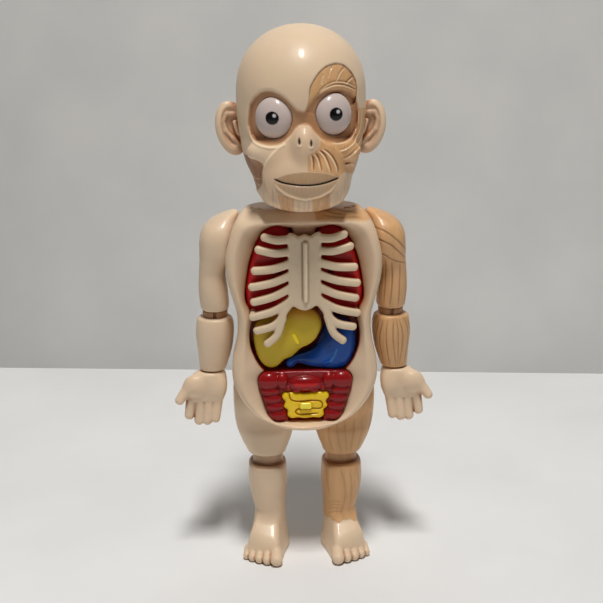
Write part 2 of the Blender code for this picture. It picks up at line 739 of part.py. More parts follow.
THIGH = [
    (55.0, 9.6, 28.9, -7.6, 3.0, 12.0, 2.3),
    (57.0, 9.0, 30.2, -8.6, 3.0, 13.4, 2.4),
    (61.0, 7.2, 32.4, -9.2, 3.0, 14.6, 2.4),
    (66.0, 5.8, 34.3, -9.4, 3.0, 15.6, 2.5),
    (70.0, 5.6, 35.3, -8.6, 3.0, 16.0, 2.6),
    (75.0, 5.6, 35.9, -8.4, 3.0, 15.8, 2.8),
    (82.0, 5.6, 36.2, -9.8, 3.0, 15.8, 3.0),
    (88.0, 5.8, 36.2, -8.4, 3.0, 14.4, 3.0),
    (92.0, 6.4, 35.8, -5.0, 3.0, 11.0, 2.9),
    (94.6, 8.0, 34.4, 0.6, 3.0, 5.4, 2.6),
]
SHIN = [
    (13.0, 10.5, 27.0, -8.0, 2.0, 11.0, 2.3),
    (22.0, 10.0, 26.0, -8.2, 2.0, 10.8, 2.4),
    (27.0, 10.0, 27.4, -9.0, 2.0, 11.6, 2.4),
    (38.0, 9.1, 29.3, -10.6, 2.0, 13.2, 2.6),
    (48.0, 9.3, 29.2, -10.6, 2.0, 13.0, 2.8),
    (50.9, 9.6, 28.9, -9.8, 2.0, 12.4, 2.8),
    (51.6, 10.6, 27.4, -7.4, 2.0, 10.0, 2.4),
    (54.0, 11.2, 26.8, -6.0, 2.0, 9.4, 2.2),
    (60.0, 11.4, 26.6, -5.6, 2.0, 9.2, 2.2),
    (61.4, 14.0, 24.0, -3.0, 2.0, 6.6, 2.0),
]
SHIN_HOLLOW = [
    (15.0, 13.0, 23.0, -5.0, 2.0, 8.0, 2.2),
    (24.0, 11.6, 24.6, -6.6, 2.0, 9.2, 2.4),
    (38.0, 10.7, 27.6, -9.0, 2.0, 11.6, 2.6),
    (47.0, 10.9, 27.4, -8.6, 2.0, 11.0, 2.6),
    (51.0, 12.8, 25.2, -4.4, 2.0, 7.8, 2.2),
    (62.0, 13.0, 25.0, -4.2, 2.0, 7.6, 2.2),
]
# Sole outline (x, y) of the left foot, and its toes as (x, y, radius)
SOLE = [(19.0, 14.6), (26.0, 12.5), (28.8, 4.0), (29.8, -6.0), (31.2, -15.6), (29.8, -19.6), (23.0, -22.1),
        (15.8, -23.1), (12.9, -18.0), (10.8, -8.0), (8.4, 2.0), (11.0, 12.0)]
# The foot above its sole: height, and the sole's width, front and heel as shares of themselves
INSTEP = [(0.0, 0.94, 0.96, 0.92), (1.2, 1.0, 1.0, 1.0), (5.0, 1.0, 1.0, 1.0), (9.0, 0.94, 0.82, 0.97),
          (14.0, 0.84, 0.54, 0.9), (18.5, 0.72, 0.34, 0.8)]
TOES = [(15.9, -23.2, 3.2), (20.4, -22.6, 2.5), (24.4, -21.2, 2.4), (27.9, -19.2, 2.3), (31.0, -16.8, 2.1)]


def make_thigh():
    thigh = thickened(limb("thigh", THIGH, 1, 18, cap_first=False, cap_last=True), LIMB_WALL)
    boolean(thigh, [rod("thigh_axle_hole", (0, HIP_SEAM, HIP_Z), (9, HIP_SEAM, HIP_Z), 2.8, 16)])
    for half in split(thigh, HIP_SEAM, "thigh_left_front", "thigh_left_back"):
        finish(half, "muscle")
        finish(mirrored(half, half.name.replace("_left", "_right")), "skin")


def make_lower_leg():
    """Shin and foot in one hollow moulding, with the round collar that turns in the thigh."""
    leg = limb("lower_leg_left", SHIN, 1, 18, cap_first=True, cap_last=True)
    outline = catmull(SOLE, 2, closed=True)
    rings = []
    for height, across, forward, backward in INSTEP:
        rings.append([(KNEE_X + (x - KNEE_X) * across,
                       KNEE_Y + (y - KNEE_Y) * (forward if y < KNEE_Y else backward), height)
                      for x, y in reversed(outline)])
    foot = loft("foot_form", rings)
    parts = [foot]
    for i, (x, y, radius) in enumerate(TOES):
        parts.append(capsule(f"toe_{i}", (x - 0.6, y + 4.0, radius + 1.6), (x, y, radius), radius))
    absorb(leg, parts)
    boolean(leg, [helper(limb("shin_hollow", SHIN_HOLLOW, 1, 14, True, True))])
    finish(leg, "muscle")
    finish(mirrored(leg, "lower_leg_right"), "skin")


# ---------------------------------------------------------------- rib cage and organs

def pad(name, outline, back, front, edge, material, peg_floor=None):
    """A pillow-shaped organ from an (x, z) outline, crowned towards the front."""
    rings = [(back, grown(outline, -edge * 0.5)), (back - 0.8, outline), (front + edge, outline),
             (front + edge * 0.35, grown(outline, -edge * 0.45)), (front, grown(outline, -edge * 1.25))]
    made = plate_loft(name, list(reversed(rings)), target=FIGURE)
    if peg_floor is not None:
        x, z, floor = PEGS[name]
        peg = rod(name + "_peg", (x, back - 1.5, z), (x, floor + 1.9, z), PEG_RADIUS, PEG_SIDES)
        boolean(made, [peg], "UNION")
    return finish(made, material)


LUNG = [(5.4, 166.0), (8.5, 172.0), (14.5, 174.4), (19.6, 171.0), (23.6, 161.5), (26.0, 150.0), (26.4, 141.0),
        (24.4, 135.2), (20.0, 134.4), (13.0, 137.6), (9.6, 141.0), (9.4, 150.0), (6.4, 158.0)]
HEART = [(-4.6, 157.0), (-1.5, 160.4), (3.0, 160.6), (7.2, 157.0), (8.6, 151.0), (7.0, 144.0), (3.4, 138.6),
         (-0.6, 141.0), (-5.0, 147.0), (-6.4, 152.5)]
LIVER = [(-22.5, 128.4), (-14.0, 132.4), (-4.0, 135.6), (5.0, 133.6), (8.4, 127.0), (6.6, 120.4),
         (3.2, 116.4),
         (-1.5, 114.2), (-7.0, 113.0), (-10.0, 110.6), (-11.4, 107.2), (-14.2, 104.6), (-18.0, 104.2),
         (-21.6, 107.0), (-24.0, 112.0), (-25.2, 119.0), (-24.8, 125.0)]
STOMACH = [(10.4, 132.2), (17.5, 130.0), (23.6, 126.0), (25.4, 119.5), (24.8, 112.5), (21.0, 106.4),
           (14.5, 103.2),
           (8.0, 102.9), (2.0, 104.0), (-3.0, 105.6), (-6.4, 103.4), (-9.0, 103.8), (-9.4, 106.6),
           (-7.0, 109.6),
           (-1.0, 111.4), (4.4, 113.4), (8.0, 117.6), (9.8, 124.0)]
KIDNEY = [(12.4, 124.4), (16.6, 125.4), (19.6, 121.8), (20.0, 116.0), (17.6, 110.8), (13.8, 110.2),
          (12.0, 112.8),
          (13.4, 117.0), (12.2, 120.6)]
SMALL_BOWEL = [(0, 92.0), (7, 92.4), (10.8, 92.0), (11.8, 89.6), (10.2, 87.6), (10.8, 84.8), (9.2, 82.6),
               (8.8, 79.6), (6.4, 78.4), (0, 78.2)]
COLON_PATH = [(13.6, 80.4), (15.6, 86.0), (17.3, 91.5), (17.9, 96.8), (12.0, 97.9), (6.0, 97.6), (0, 97.4)]
COLON_RADIUS = 4.1
COLON_SWELL = 0.006    # how much the tube widens with each millimetre of height
COLON_Y = -17.2


def reflected(outline):
    return [(-x, z) for x, z in outline]


def make_organs():
    for word, flip in (("left", False), ("right", True)):
        lung = catmull(LUNG, 2, closed=True)
        kidney = catmull(KIDNEY, 1, closed=True)
        pad("lung_" + word, reflected(lung) if flip else lung, CHEST_FLOOR - GAP, -13.6, 3.0, "red", True)
        outline = reflected(kidney) if flip else kidney
        pad("kidney_" + word, outline, CHEST_FLOOR - GAP, -7.6, 1.4, "red", True)
    pad("heart", catmull(HEART, 2, closed=True), -14.0, -16.6, 1.2, "red")
    pad("liver", catmull(LIVER, 2, closed=True), -11.4, -15.4, 1.6, "yellow", True)
    pad("stomach", catmull(STOMACH, 2, closed=True), CHEST_FLOOR - 5.0, -14.8, 1.6, "blue", True)
    pad("small_intestine", both_sides(SMALL_BOWEL, 1), BOWEL_FLOOR - GAP, -18.6, 1.2, "yellow", True)
    make_colon()


def make_colon():
    """A square-cornered arch of round bulges, made as one beaded tube."""
    half = catmull(COLON_PATH, 3)
    path = half + [(-x, z) for x, z in reversed(half[:-1])]
    curve = bpy.data.curves.new("large_intestine", "CURVE")
    curve.dimensions = "3D"
    curve.bevel_depth = COLON_RADIUS * MM
    curve.bevel_resolution = 1
    curve.use_fill_caps = True
    spline = curve.splines.new("POLY")
    spline.points.add(len(path) - 1)
    for i, (point, (x, z)) in enumerate(zip(spline.points, path)):
        point.co = (x * MM, COLON_Y * MM, z * MM, 1)
        point.radius = (1.0 if i % 3 else 0.88) * (1 + COLON_SWELL * (z - COLON_PATH[0][1]))
    tube = bpy.data.objects.new("large_intestine_curve", curve)
    FIGURE.objects.link(tube)
    made = solid_curve(tube, "large_intestine")
    made.data.transform(Matrix.Translation((0, COLON_Y * MM, 0)) @ Matrix.Diagonal((1, 0.82, 1, 1))
                        @ Matrix.Translation((0, -COLON_Y * MM, 0)))
    x, z, floor = PEGS["large_intestine"]
    tail = rod("large_intestine_peg", (x, COLON_Y, z), (x, floor + 1.9, z), PEG_RADIUS, PEG_SIDES)
    boolean(made, [tail], "UNION")
    finish(made, "red")


def solid_curve(curve_object, name):
    """A closed mesh from a bevelled curve, with its caps welded on."""
    graph = bpy.context.evaluated_depsgraph_get()
    graph.update()
    mesh = bpy.data.meshes.new_from_object(curve_object.evaluated_get(graph))
    welded = bmesh.new()
    welded.from_mesh(mesh)
    bmesh.ops.remove_doubles(welded, verts=welded.verts, dist=0.00001)
    bmesh.ops.recalc_face_normals(welded, faces=welded.faces)
    welded.to_mesh(mesh)
    welded.free()
    made = bpy.data.objects.new(name, mesh)
    made.matrix_world = curve_object.matrix_world.copy()
    FIGURE.objects.link(made)
    bpy.data.objects.remove(curve_object)
    return made


STERNUM = [(0, 174.4), (3.0, 173.6), (8.0, 174.4), (8.2, 160.0), (8.2, 147.0), (8.4, 139.0), (4.6, 138.6),
           (2.0, 136.6), (0, 136.4)]
# Each left rib from the breastbone to its tip as (x, z) points
RIBS = [
    [(6.5, 172.2), (13.0, 171.4), (19.2, 173.0)],
    [(6.5, 166.0), (14.0, 165.2), (22.2, 167.0)],
    [(6.5, 160.0), (15.0, 157.4), (24.4, 156.6)],
    [(6.5, 154.0), (15.0, 150.8), (25.8, 148.6)],
    [(6.5, 147.6), (15.0, 143.8), (24.8, 141.2)],
    [(6.5, 141.2), (15.0, 136.4), (27.3, 133.2)],
    [(6.5, 140.4), (11.2, 134.6), (12.4, 128.0), (14.6, 123.4), (18.8, 119.9)],
    [(11.6, 131.6), (17.0, 128.4), (23.8, 126.6)],
]
RIB_RADIUS = 2.1
RIB_Y = -20.2
RIB_CURL = 0.0030      # how fast the ribs fall back towards their tips


def rib_y(x):
    """y of the rib cage's middle surface: a shallow arch across the chest."""
    return RIB_Y + RIB_CURL * x * x


def make_rib(name, path):
    curve = bpy.data.curves.new(name, "CURVE")
    curve.dimensions = "3D"
    curve.bevel_depth = RIB_RADIUS * MM
    curve.bevel_resolution = 1
    curve.use_fill_caps = True
    points = catmull(path, 2)
    spline = curve.splines.new("POLY")
    spline.points.add(len(points) - 1)
    for point, (x, z) in zip(spline.points, points):
        point.co = (x * MM, rib_y(x) * MM, z * MM, 1)
    spline.points[-1].radius = 0.8
    holder = bpy.data.objects.new(name, curve)
    FIGURE.objects.link(holder)
    return solid_curve(holder, name)


def make_rib_cage():
    outline = both_sides(STERNUM, 1)
    cage = plate_loft("rib_cage", [(RIB_Y - 1.5, grown(outline, -0.7)), (RIB_Y - 0.8, outline),
                                   (RIB_Y + 1.6, outline)],
                      target=FIGURE)
    parts = []
    for i, path in enumerate(RIBS):
        rib = make_rib(f"rib_form_{i}", path)
        parts += [rib, mirrored(rib, f"rib_form_right_{i}")]
    for side in (1, -1):
        x, z = side * RIB_PEG[0], RIB_PEG[1]
        parts.append(rod(f"rib_peg_{side}", (x, rib_y(x), z), (x, -11.4, z), PEG_RADIUS, PEG_SIDES))
    absorb(cage, parts)
    finish(cage, "skin")


def place_origins():
    """Puts each moving piece's origin on the axis it turns or slides on."""
    pivots = {"face_shell": (0, NECK_Y, 190), "skull_back": (0, HEAD_SEAM, 230), "eye": (0, NECK_Y, 190),
              "brain": (0, HEAD_SEAM, 240), "upper_arm": SHOULDER, "forearm": ELBOW, "elbow": ELBOW,
              "hand": ELBOW, "thigh": (0, HIP_SEAM, HIP_Z), "lower_leg": (KNEE_X, KNEE_Y, 56),
              "rib_cage": (0, RIB_Y, 155)}
    for piece, (x, z, floor) in PEGS.items():
        pivots[piece] = (x, floor, z)
    for made in FIGURE.objects:
        for start, point in pivots.items():
            if made.name.startswith(start):
                place = Vector(point) * MM
                if made.name.startswith(start + "_right") and start not in PEGS:
                    place.x = -place.x
                made.data.transform(Matrix.Translation(-place))
                made.location = place


make_head()
make_brain()
make_torso()
make_pegs()
make_arm()
make_thigh()
make_lower_leg()
make_organs()
make_rib_cage()
place_origins()
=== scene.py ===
"""Looks for the take-apart anatomy figure: moulded plastic skin on its right side, muscle on its left.

Shapes are fields, functions of a point in millimetres that are negative inside a piece, and each
piece is the surface where its field is zero. The figure faces -Y and its own left is +X.
"""

import math

import bpy
import numpy as np
from mathutils import Matrix, Vector


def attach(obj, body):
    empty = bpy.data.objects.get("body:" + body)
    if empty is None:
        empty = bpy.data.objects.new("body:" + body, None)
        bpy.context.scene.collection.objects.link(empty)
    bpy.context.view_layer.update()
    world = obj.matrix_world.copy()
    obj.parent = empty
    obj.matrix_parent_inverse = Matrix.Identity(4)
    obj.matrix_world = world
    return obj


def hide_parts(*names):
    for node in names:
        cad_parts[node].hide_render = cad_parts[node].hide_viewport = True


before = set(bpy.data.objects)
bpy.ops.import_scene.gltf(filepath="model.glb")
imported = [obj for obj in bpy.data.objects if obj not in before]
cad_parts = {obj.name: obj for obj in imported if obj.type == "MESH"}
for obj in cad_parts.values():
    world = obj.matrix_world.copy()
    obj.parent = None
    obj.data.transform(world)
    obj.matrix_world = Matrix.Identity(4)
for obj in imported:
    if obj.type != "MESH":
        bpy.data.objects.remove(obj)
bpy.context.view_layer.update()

MM = 0.001
SEAM = 0.15         # half the gap between the halves of a shell
DOME = 2.4          # how round the end of a column is
SIDES = (("left", False), ("right", True))      # each side, and whether it is mirrored


def route(text):
    """Points: commas between a point's numbers, spaces between points."""
    return [tuple(float(n) for n in point.split(",")) for point in text.split()]


def routes(text):
    """Lists of points, one to a line."""
    return [route(line) for line in text.strip().splitlines()]


def moved(points, du, dv):
    return [(u + du, v + dv) for u, v in points]


# ---------------------------------------------------------------- fields

def ellipsoid(x, y, z, centre, radii):
    a, b, c = ((v - m) / r for v, m, r in zip((x, y, z), centre, radii))
    near = np.sqrt(a * a + b * b + c * c) + 1e-4
    slope = np.sqrt((a / radii[0]) ** 2 + (b / radii[1]) ** 2 + (c / radii[2]) ** 2) + 1e-5
    return near * (near - 1) / slope


def rod(x, y, z, a, b, start, end=None):
    """A tapering bar with round ends."""
    end = start if end is None else end
    ab = [q - p for p, q in zip(a, b)]
    dx, dy, dz = x - a[0], y - a[1], z - a[2]
    t = np.clip((dx * ab[0] + dy * ab[1] + dz * ab[2]) / sum(v * v for v in ab), 0, 1)
    away = np.sqrt((dx - t * ab[0]) ** 2 + (dy - t * ab[1]) ** 2 + (dz - t * ab[2]) ** 2)
    return away - (start + (end - start) * t)


def drum(x, y, z, a, b, radius):
    """A round bar with flat ends."""
    ab = [q - p for p, q in zip(a, b)]
    length = math.sqrt(sum(v * v for v in ab))
    ab = [v / length for v in ab]
    dx, dy, dz = x - a[0], y - a[1], z - a[2]
    t = dx * ab[0] + dy * ab[1] + dz * ab[2]
    away = np.sqrt(np.maximum(dx * dx + dy * dy + dz * dz - t * t, 0)) - radius
    return np.maximum(away, np.maximum(-t, t - length))


def slab(x, y, z, low, high, edge=0.0):
    """A box with rounded edges."""
    q = [np.abs(v - (a + b) / 2) - (b - a) / 2 + edge for v, a, b in zip((x, y, z), low, high)]
    outside = np.sqrt(sum(np.maximum(v, 0) ** 2 for v in q))
    return outside + np.minimum(np.maximum(q[0], np.maximum(q[1], q[2])), 0) - edge


def union(a, b, blend=0.0):
    if not blend:
        return np.minimum(a, b)
    h = np.maximum(blend - np.abs(a - b), 0) / blend
    return np.minimum(a, b) - h * h * blend / 4


def both(a, b, blend=0.0):
    return -union(-a, -b, blend)


def cut(a, b, blend=0.0):
    return -union(-a, b, blend)


def rounded(a, b, edge):
    """What two forms share, with its edge rounded to that radius."""
    a, b = a + edge, b + edge
    return np.sqrt(np.maximum(a, 0) ** 2 + np.maximum(b, 0) ** 2) + np.minimum(np.maximum(a, b), 0) - edge


def plate(d, y, middle, half, edge):
    """A plan's distance thickened about y = middle, with rounded edges."""
    return rounded(d, np.abs(y - middle) - half, edge)


def ended(form, z, low, high, edge):
    """Cuts a form off level at both ends, with rounded rims."""
    return rounded(form, np.maximum(low - z, z - high), edge)


def pillow(d, y, back, front, edge, crown):
    """A plan's distance made a pad whose front rises by crown over that much of its edge."""
    t = np.clip(-d / edge, 0, 1)
    face = front + crown * (1 - np.sqrt(np.maximum(1 - (1 - t) ** 2, 0)))
    return both(both(d, face - y, 0.8), y - back, 1.0)


def ease(value, start, end):
    """Rises smoothly from 0 at start to 1 at end."""
    t = np.clip((value - start) / (end - start), 0, 1)
    return t * t * (3 - 2 * t)


def refined(points, steps=6, closed=False):
    """A smooth curve through the points (Catmull-Rom)."""
    p = np.array(points, float)
    p = np.vstack([p[-1:], p, p[:2]] if closed else [p[:1], p, p[-1:]])
    t = (np.arange(steps) / steps)[:, None]
    out = []
    for a, b, c, d in zip(p, p[1:], p[2:], p[3:]):
        square, cube = 2 * a - 5 * b + 4 * c - d, 3 * b - a - 3 * c + d
        out.append(0.5 * (2 * b + (c - a) * t + square * t ** 2 + cube * t ** 3))
    out = np.vstack(out)
    return out if closed else np.vstack([out, p[-1:]])


def column(x, y, z, rows, bottom=None, top=None, offset=0.0):
    """An upright form through rows of (z, x_in, x_out, y_front, y_mid, y_back, roundness), low to high.

    top is (z where a dome starts, z of its crown), and bottom is the same upside down."""
    table = refined(rows)
    table = table[np.argsort(table[:, 0], kind="stable")]
    x_in, x_out, front, mid, back, power = (
        np.interp(z, table[:, 0], table[:, i]).astype(np.float32) for i in range(1, 7))
    half = (x_out - x_in) / 2 + offset
    dx, dy = x - (x_in + x_out) / 2, y - mid
    depth = np.where(dy > 0, back - mid, mid - front) + offset
    k = (np.abs(dx) / half) ** power + (np.abs(dy) / depth) ** power
    reach = dx * dx + dy * dy
    for start, crown in (end for end in (bottom, top) if end):
        rise = np.maximum((z - start) * (1 if crown > start else -1), 0)
        k = k + (rise / (abs(crown - start) + offset)) ** DOME
        reach = reach + rise * rise
    k = np.maximum(k, 1e-6) ** (1 / power)
    return (np.sqrt(reach) + 1e-3) * (1 - 1 / k)


# ---------------------------------------------------------------- charts of relief and colour, and plans

FAR = 50.0          # millimetres: as far as a plan reads


def nearest(curve, u, v, start=0.0, end=0.0):
    """Distance to a bar along a curve, whose radius goes from start to end, and how far along it is nearest."""
    best = np.full((u.size, v.size), 1e9)
    along = np.zeros_like(best)
    for i, (a, b) in enumerate(zip(curve, curve[1:])):
        ab = b - a
        t = np.clip(((u - a[0]) * ab[0] + (v - a[1]) * ab[1]) / max(ab @ ab, 1e-9), 0, 1)
        share = (i + t) / (len(curve) - 1)
        d = np.hypot(u - a[0] - t * ab[0], v - a[1] - t * ab[1]) - (start + (end - start) * share)
        along = np.where(d < best, share, along)
        best = np.minimum(best, d)
    return best, along


def enclosed(ring, u, v):
    """Whether each place is inside a closed ring."""
    inside = np.zeros((u.size, v.size), bool)
    for a, b in zip(ring, ring[1:]):
        if a[1] != b[1]:
            inside ^= ((a[1] > v) != (b[1] > v)) & (u < (b[0] - a[0]) * (v - a[1]) / (b[1] - a[1]) + a[0])
    return inside


class Chart:
    """A map over a flattened face of the figure, drawn with strokes and areas."""

    def __init__(self, low, high, step=0.15):
        self.low, self.step = low, step
        self.size = [int((b - a) / step) + 2 for a, b in zip(low, high)]
        self.value = np.zeros(self.size, np.float32)

    def window(self, points, reach):
        """The part of the chart within reach of the points, if there is any, and its u and v."""
        span = []
        for i in (0, 1):
            start = max(int((points[:, i].min() - reach - self.low[i]) / self.step), 0)
            stop = min(int((points[:, i].max() + reach - self.low[i]) / self.step) + 2, self.size[i])
            if start >= stop:
                return None
            span.append((start, stop))
        u, v = (self.low[i] + self.step * np.arange(*span[i]) for i in (0, 1))
        return tuple(slice(*s) for s in span), u[:, None], v[None, :]

    def stroke(self, points, width, depth, taper=0.25):
        """A groove (depth > 0) or ridge (depth < 0), thinning towards its ends."""
        curve = refined(points)
        found = self.window(curve, 3 * width)
        if found:
            area, u, v = found
            d, along = nearest(curve, u, v)
            fade = np.clip(np.minimum(along, 1 - along) / taper, 0, 1) ** 0.5
            self.value[area] += depth * np.exp(-(d / width) ** 2) * fade

    def area(self, points, depth, edge=0.3, steps=1, add=False):
        """A filled outline whose edge is that wide."""
        ring = refined(points, steps, closed=True)
        ring = np.vstack([ring, ring[:1]])
        area, u, v = self.window(ring, 2 * edge + 1)
        d, _ = nearest(ring, u, v)
        fill = depth * ease(np.where(enclosed(ring, u, v), d, -d), -edge, edge)
        self.value[area] = self.value[area] + fill if add else np.maximum(self.value[area], fill)

    def read(self, u, v):
        i = np.clip((u - self.low[0]) / self.step, 0, self.size[0] - 1.001)
        j = np.clip((v - self.low[1]) / self.step, 0, self.size[1] - 1.001)
        a, b = i.astype(np.int32), j.astype(np.int32)
        p, q = i - a, j - b
        g = self.value
        return (g[a, b] * (1 - p) + g[a + 1, b] * p) * (1 - q) + (g[a, b + 1] * (1 - p) + g[a + 1, b + 1] * p) * q


class Plan(Chart):
    """Signed distance to a flat shape seen from the front, negative inside it."""

    def __init__(self, low, high, step=0.25):
        super().__init__(low, high, step)
        self.value += FAR
        self.u = low[0] + step * np.arange(self.size[0])[:, None]
        self.v = low[1] + step * np.arange(self.size[1])[None, :]

    def bar(self, points, start, end, blend):
        """Joins a bar along a curve, as wide as its radii say."""
        d = np.minimum(nearest(refined(points, 5), self.u, self.v, start, end)[0], FAR)
        self.value = union(self.value, d.astype(np.float32), blend)

    def shape(self, points, steps=5):
        """Joins the inside of an outline."""
        ring = refined(points, steps, closed=True)
        ring = np.vstack([ring, ring[:1]])
        d, _ = nearest(ring, self.u, self.v)
        d = np.where(enclosed(ring, self.u, self.v), -d, d)
        self.value = np.minimum(self.value, d.astype(np.float32))
        return self

    def softened(self, rounds):
        """Smooths away the creases of the distance."""
        for _ in range(rounds):
            g = np.pad(self.value, 1, mode="edge")
            self.value = (4 * g[1:-1, 1:-1] + g[:-2, 1:-1] + g[2:, 1:-1] + g[1:-1, :-2] + g[1:-1, 2:]) / 8
        return self


def both_sides(half):
    """A closed outline from its half with x >= 0, which runs from the top middle to the bottom middle."""
    return half + [(-x, z) for x, z in reversed(half[1:-1])]


# ---------------------------------------------------------------- surfaces

BLOCK = 8           # cells to a side of the blocks that are read or skipped whole
CHUNK = 1500        # blocks read at a time
MARGIN = 1.9, 1.5   # how inexact a field may be far from its surface: a factor, and millimetres
SHUT_REACHES = ((0.8, 0.3), (2.4, 0.35), (6.0, 0.35))   # how far out occlusion looks, and what each look counts


def sampled(field, low, high, cell):
    """The field on a grid, read closely only where its surface can be."""
    count = [int(math.ceil((b - a) / cell / BLOCK)) + 1 for a, b in zip(low, high)]
    low = np.array(low, np.float32) - 2 * cell
    index = np.stack(np.meshgrid(*[np.arange(c) for c in count], indexing="ij"), -1).reshape(-1, 3)
    middle = low + cell * (index * BLOCK + (BLOCK - 1) / 2)
    value = field(*middle.T.astype(np.float32))
    near = np.abs(value) < cell * BLOCK * 0.5 * math.sqrt(3) * MARGIN[0] + MARGIN[1]
    grid = value.reshape(count)
    for axis in range(3):
        grid = np.repeat(grid, BLOCK, axis)
    grid = grid.astype(np.float32)
    steps = np.stack(np.meshgrid(*[np.arange(BLOCK)] * 3, indexing="ij"), -1).reshape(-1, 3)
    close = index[near]
    for start in range(0, len(close), CHUNK):
        cells = (close[start:start + CHUNK, None, :] * BLOCK + steps[None]).reshape(-1, 3)
        p = (low + cell * cells).astype(np.float32)
        grid[tuple(cells.T)] = field(*p.T)
    return grid, low


def netted(grid, low, cell):
    """Quads around the zero level of a grid (surface nets)."""
    inside = grid < 0
    size = np.array(grid.shape) - 1
    total = np.zeros(size, np.uint8)
    corners = [(i, j, k) for i in (0, 1) for j in (0, 1) for k in (0, 1)]
    for i, j, k in corners:
        total += inside[i:size[0] + i, j:size[1] + j, k:size[2] + k]
    active = np.argwhere((total > 0) & (total < 8))
    number = np.full(size, -1, np.int32)
    number[tuple(active.T)] = np.arange(len(active))
    value = {c: grid[tuple((active + c).T)] for c in corners}
    place = np.zeros((len(active), 3), np.float32)
    hits = np.zeros(len(active), np.float32)
    for a in corners:
        for axis in (n for n in range(3) if not a[n]):
            b = tuple(v + (n == axis) for n, v in enumerate(a))
            crossing = (value[a] < 0) != (value[b] < 0)
            gap = value[a] - value[b]
            t = np.where(crossing, value[a] / np.where(gap == 0, 1, gap), 0)
            for n in range(3):
                place[:, n] += np.where(crossing, a[n] + (t if n == axis else 0), 0)
            hits += crossing
    points = low + cell * (active + place / hits[:, None])
    quads = []
    for axis in range(3):
        u, v = (axis + 1) % 3, (axis + 2) % 3
        head, tail = [slice(None)] * 3, [slice(None)] * 3
        head[axis], tail[axis] = slice(0, -1), slice(1, None)
        edges = np.argwhere(inside[tuple(head)] != inside[tuple(tail)])
        keep = (edges[:, u] > 0) & (edges[:, v] > 0) & (edges[:, u] < size[u]) & (edges[:, v] < size[v])
        edges = edges[keep]
        eu, ev = np.eye(3, dtype=int)[u], np.eye(3, dtype=int)[v]
        ring = np.stack([number[tuple((edges - du * eu - dv * ev).T)]
                         for du, dv in ((1, 1), (0, 1), (0, 0), (1, 0))], 1)
        out = inside[tuple(edges.T)]
        ring[~out] = ring[~out][:, ::-1]
        quads.append(ring)
    quads = np.vstack(quads)
    return points.astype(np.float32), quads[(quads >= 0).all(1)]


def slope_of(field, points, step):
    x, y, z = points.T
    return np.stack([field(x + step, y, z) - field(x - step, y, z),
                     field(x, y + step, z) - field(x, y - step, z),
                     field(x, y, z + step) - field(x, y, z - step)], 1) / (2 * step)


def settled(points, field, cell):
    """Moves the points onto the field's surface."""
    for _ in range(2):
        slope = slope_of(field, points, 0.2 * cell)
        square = np.maximum((slope ** 2).sum(1), 0.25)
        move = -(field(*points.T) / square)[:, None] * slope
        length = np.sqrt((move ** 2).sum(1, keepdims=True)) + 1e-9
        points = points + move * np.minimum(1, 0.6 * cell / length)
    return points


def occlusion(points, field):
    """How far into a hollow each point is, from 0 in the open to 1 in a crease; the materials darken by it as painted
    shade.
    """
    normal = slope_of(field, points, 0.3)
    normal /= np.sqrt((normal ** 2).sum(1, keepdims=True)) + 1e-6
    shut = np.zeros(len(points), np.float32)
    for reach, share in SHUT_REACHES:
        ahead = points + normal * reach
        shut += share * np.clip(1 - field(*ahead.T) / reach, 0, 1)
    return shut


def add_object(name, data):
    made = bpy.data.objects.new(name, data)
    bpy.context.scene.collection.objects.link(made)
    return made


def add_mesh(name, points, faces, attributes=None):
    """A mesh object from points in millimetres and quads."""
    mesh = bpy.data.meshes.new(name)
    mesh.vertices.add(len(points))
    mesh.vertices.foreach_set("co", (np.asarray(points, np.float32) * MM).ravel())
    mesh.loops.add(faces.size)
    mesh.loops.foreach_set("vertex_index", faces.ravel().astype(np.int32))
    mesh.polygons.add(len(faces))
    mesh.polygons.foreach_set("loop_start", np.arange(0, faces.size, 4, dtype=np.int32))
    mesh.polygons.foreach_set("use_smooth", np.ones(len(faces), bool))
    mesh.update(calc_edges=True)
    mesh.validate()
    for key, values in (attributes or {}).items():
        layer = mesh.attributes.new(key, "FLOAT", "POINT")
        layer.data.foreach_set("value", np.asarray(values, np.float32))
    return add_object(name, mesh)


def piece(name, field, low, high, cell, material, body, node, slot, masks=None, mirror=False, among=None):
    """A piece of the figure: the field's surface, with its masks, in the place of its CAD node.

    Its painted shade in hollows is measured on the field among, if there is one."""
    grid, start = sampled(field, low, high, cell)
    points, quads = netted(grid, start, cell)
    points = settled(points, field, cell)
    # Painted shade: how far each point lies in a hollow, kept for its material to darken it by
    attributes = {"shut": occlusion(points, among or field)}
    for key, mask in (masks or {}).items():
        attributes[key] = mask(*points.T)
    if mirror:
        points = points * np.array([-1, 1, 1], np.float32)
        quads = quads[:, ::-1]
    made = add_mesh(name, points, quads, attributes)
    made.data.materials.append(material)
    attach(made, body)
    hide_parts(node)


# ---------------------------------------------------------------- materials

def srgb(r, g, b):
    """A colour from its 0 to 255 screen values."""
    return tuple(((c / 255 + 0.055) / 1.055) ** 2.4 if c > 10 else c / 255 / 12.92 for c in (r, g, b)) + (1.0,)


def dimmed(colour, share):
    return tuple(c * (1 - share) for c in colour[:3]) + (1.0,)


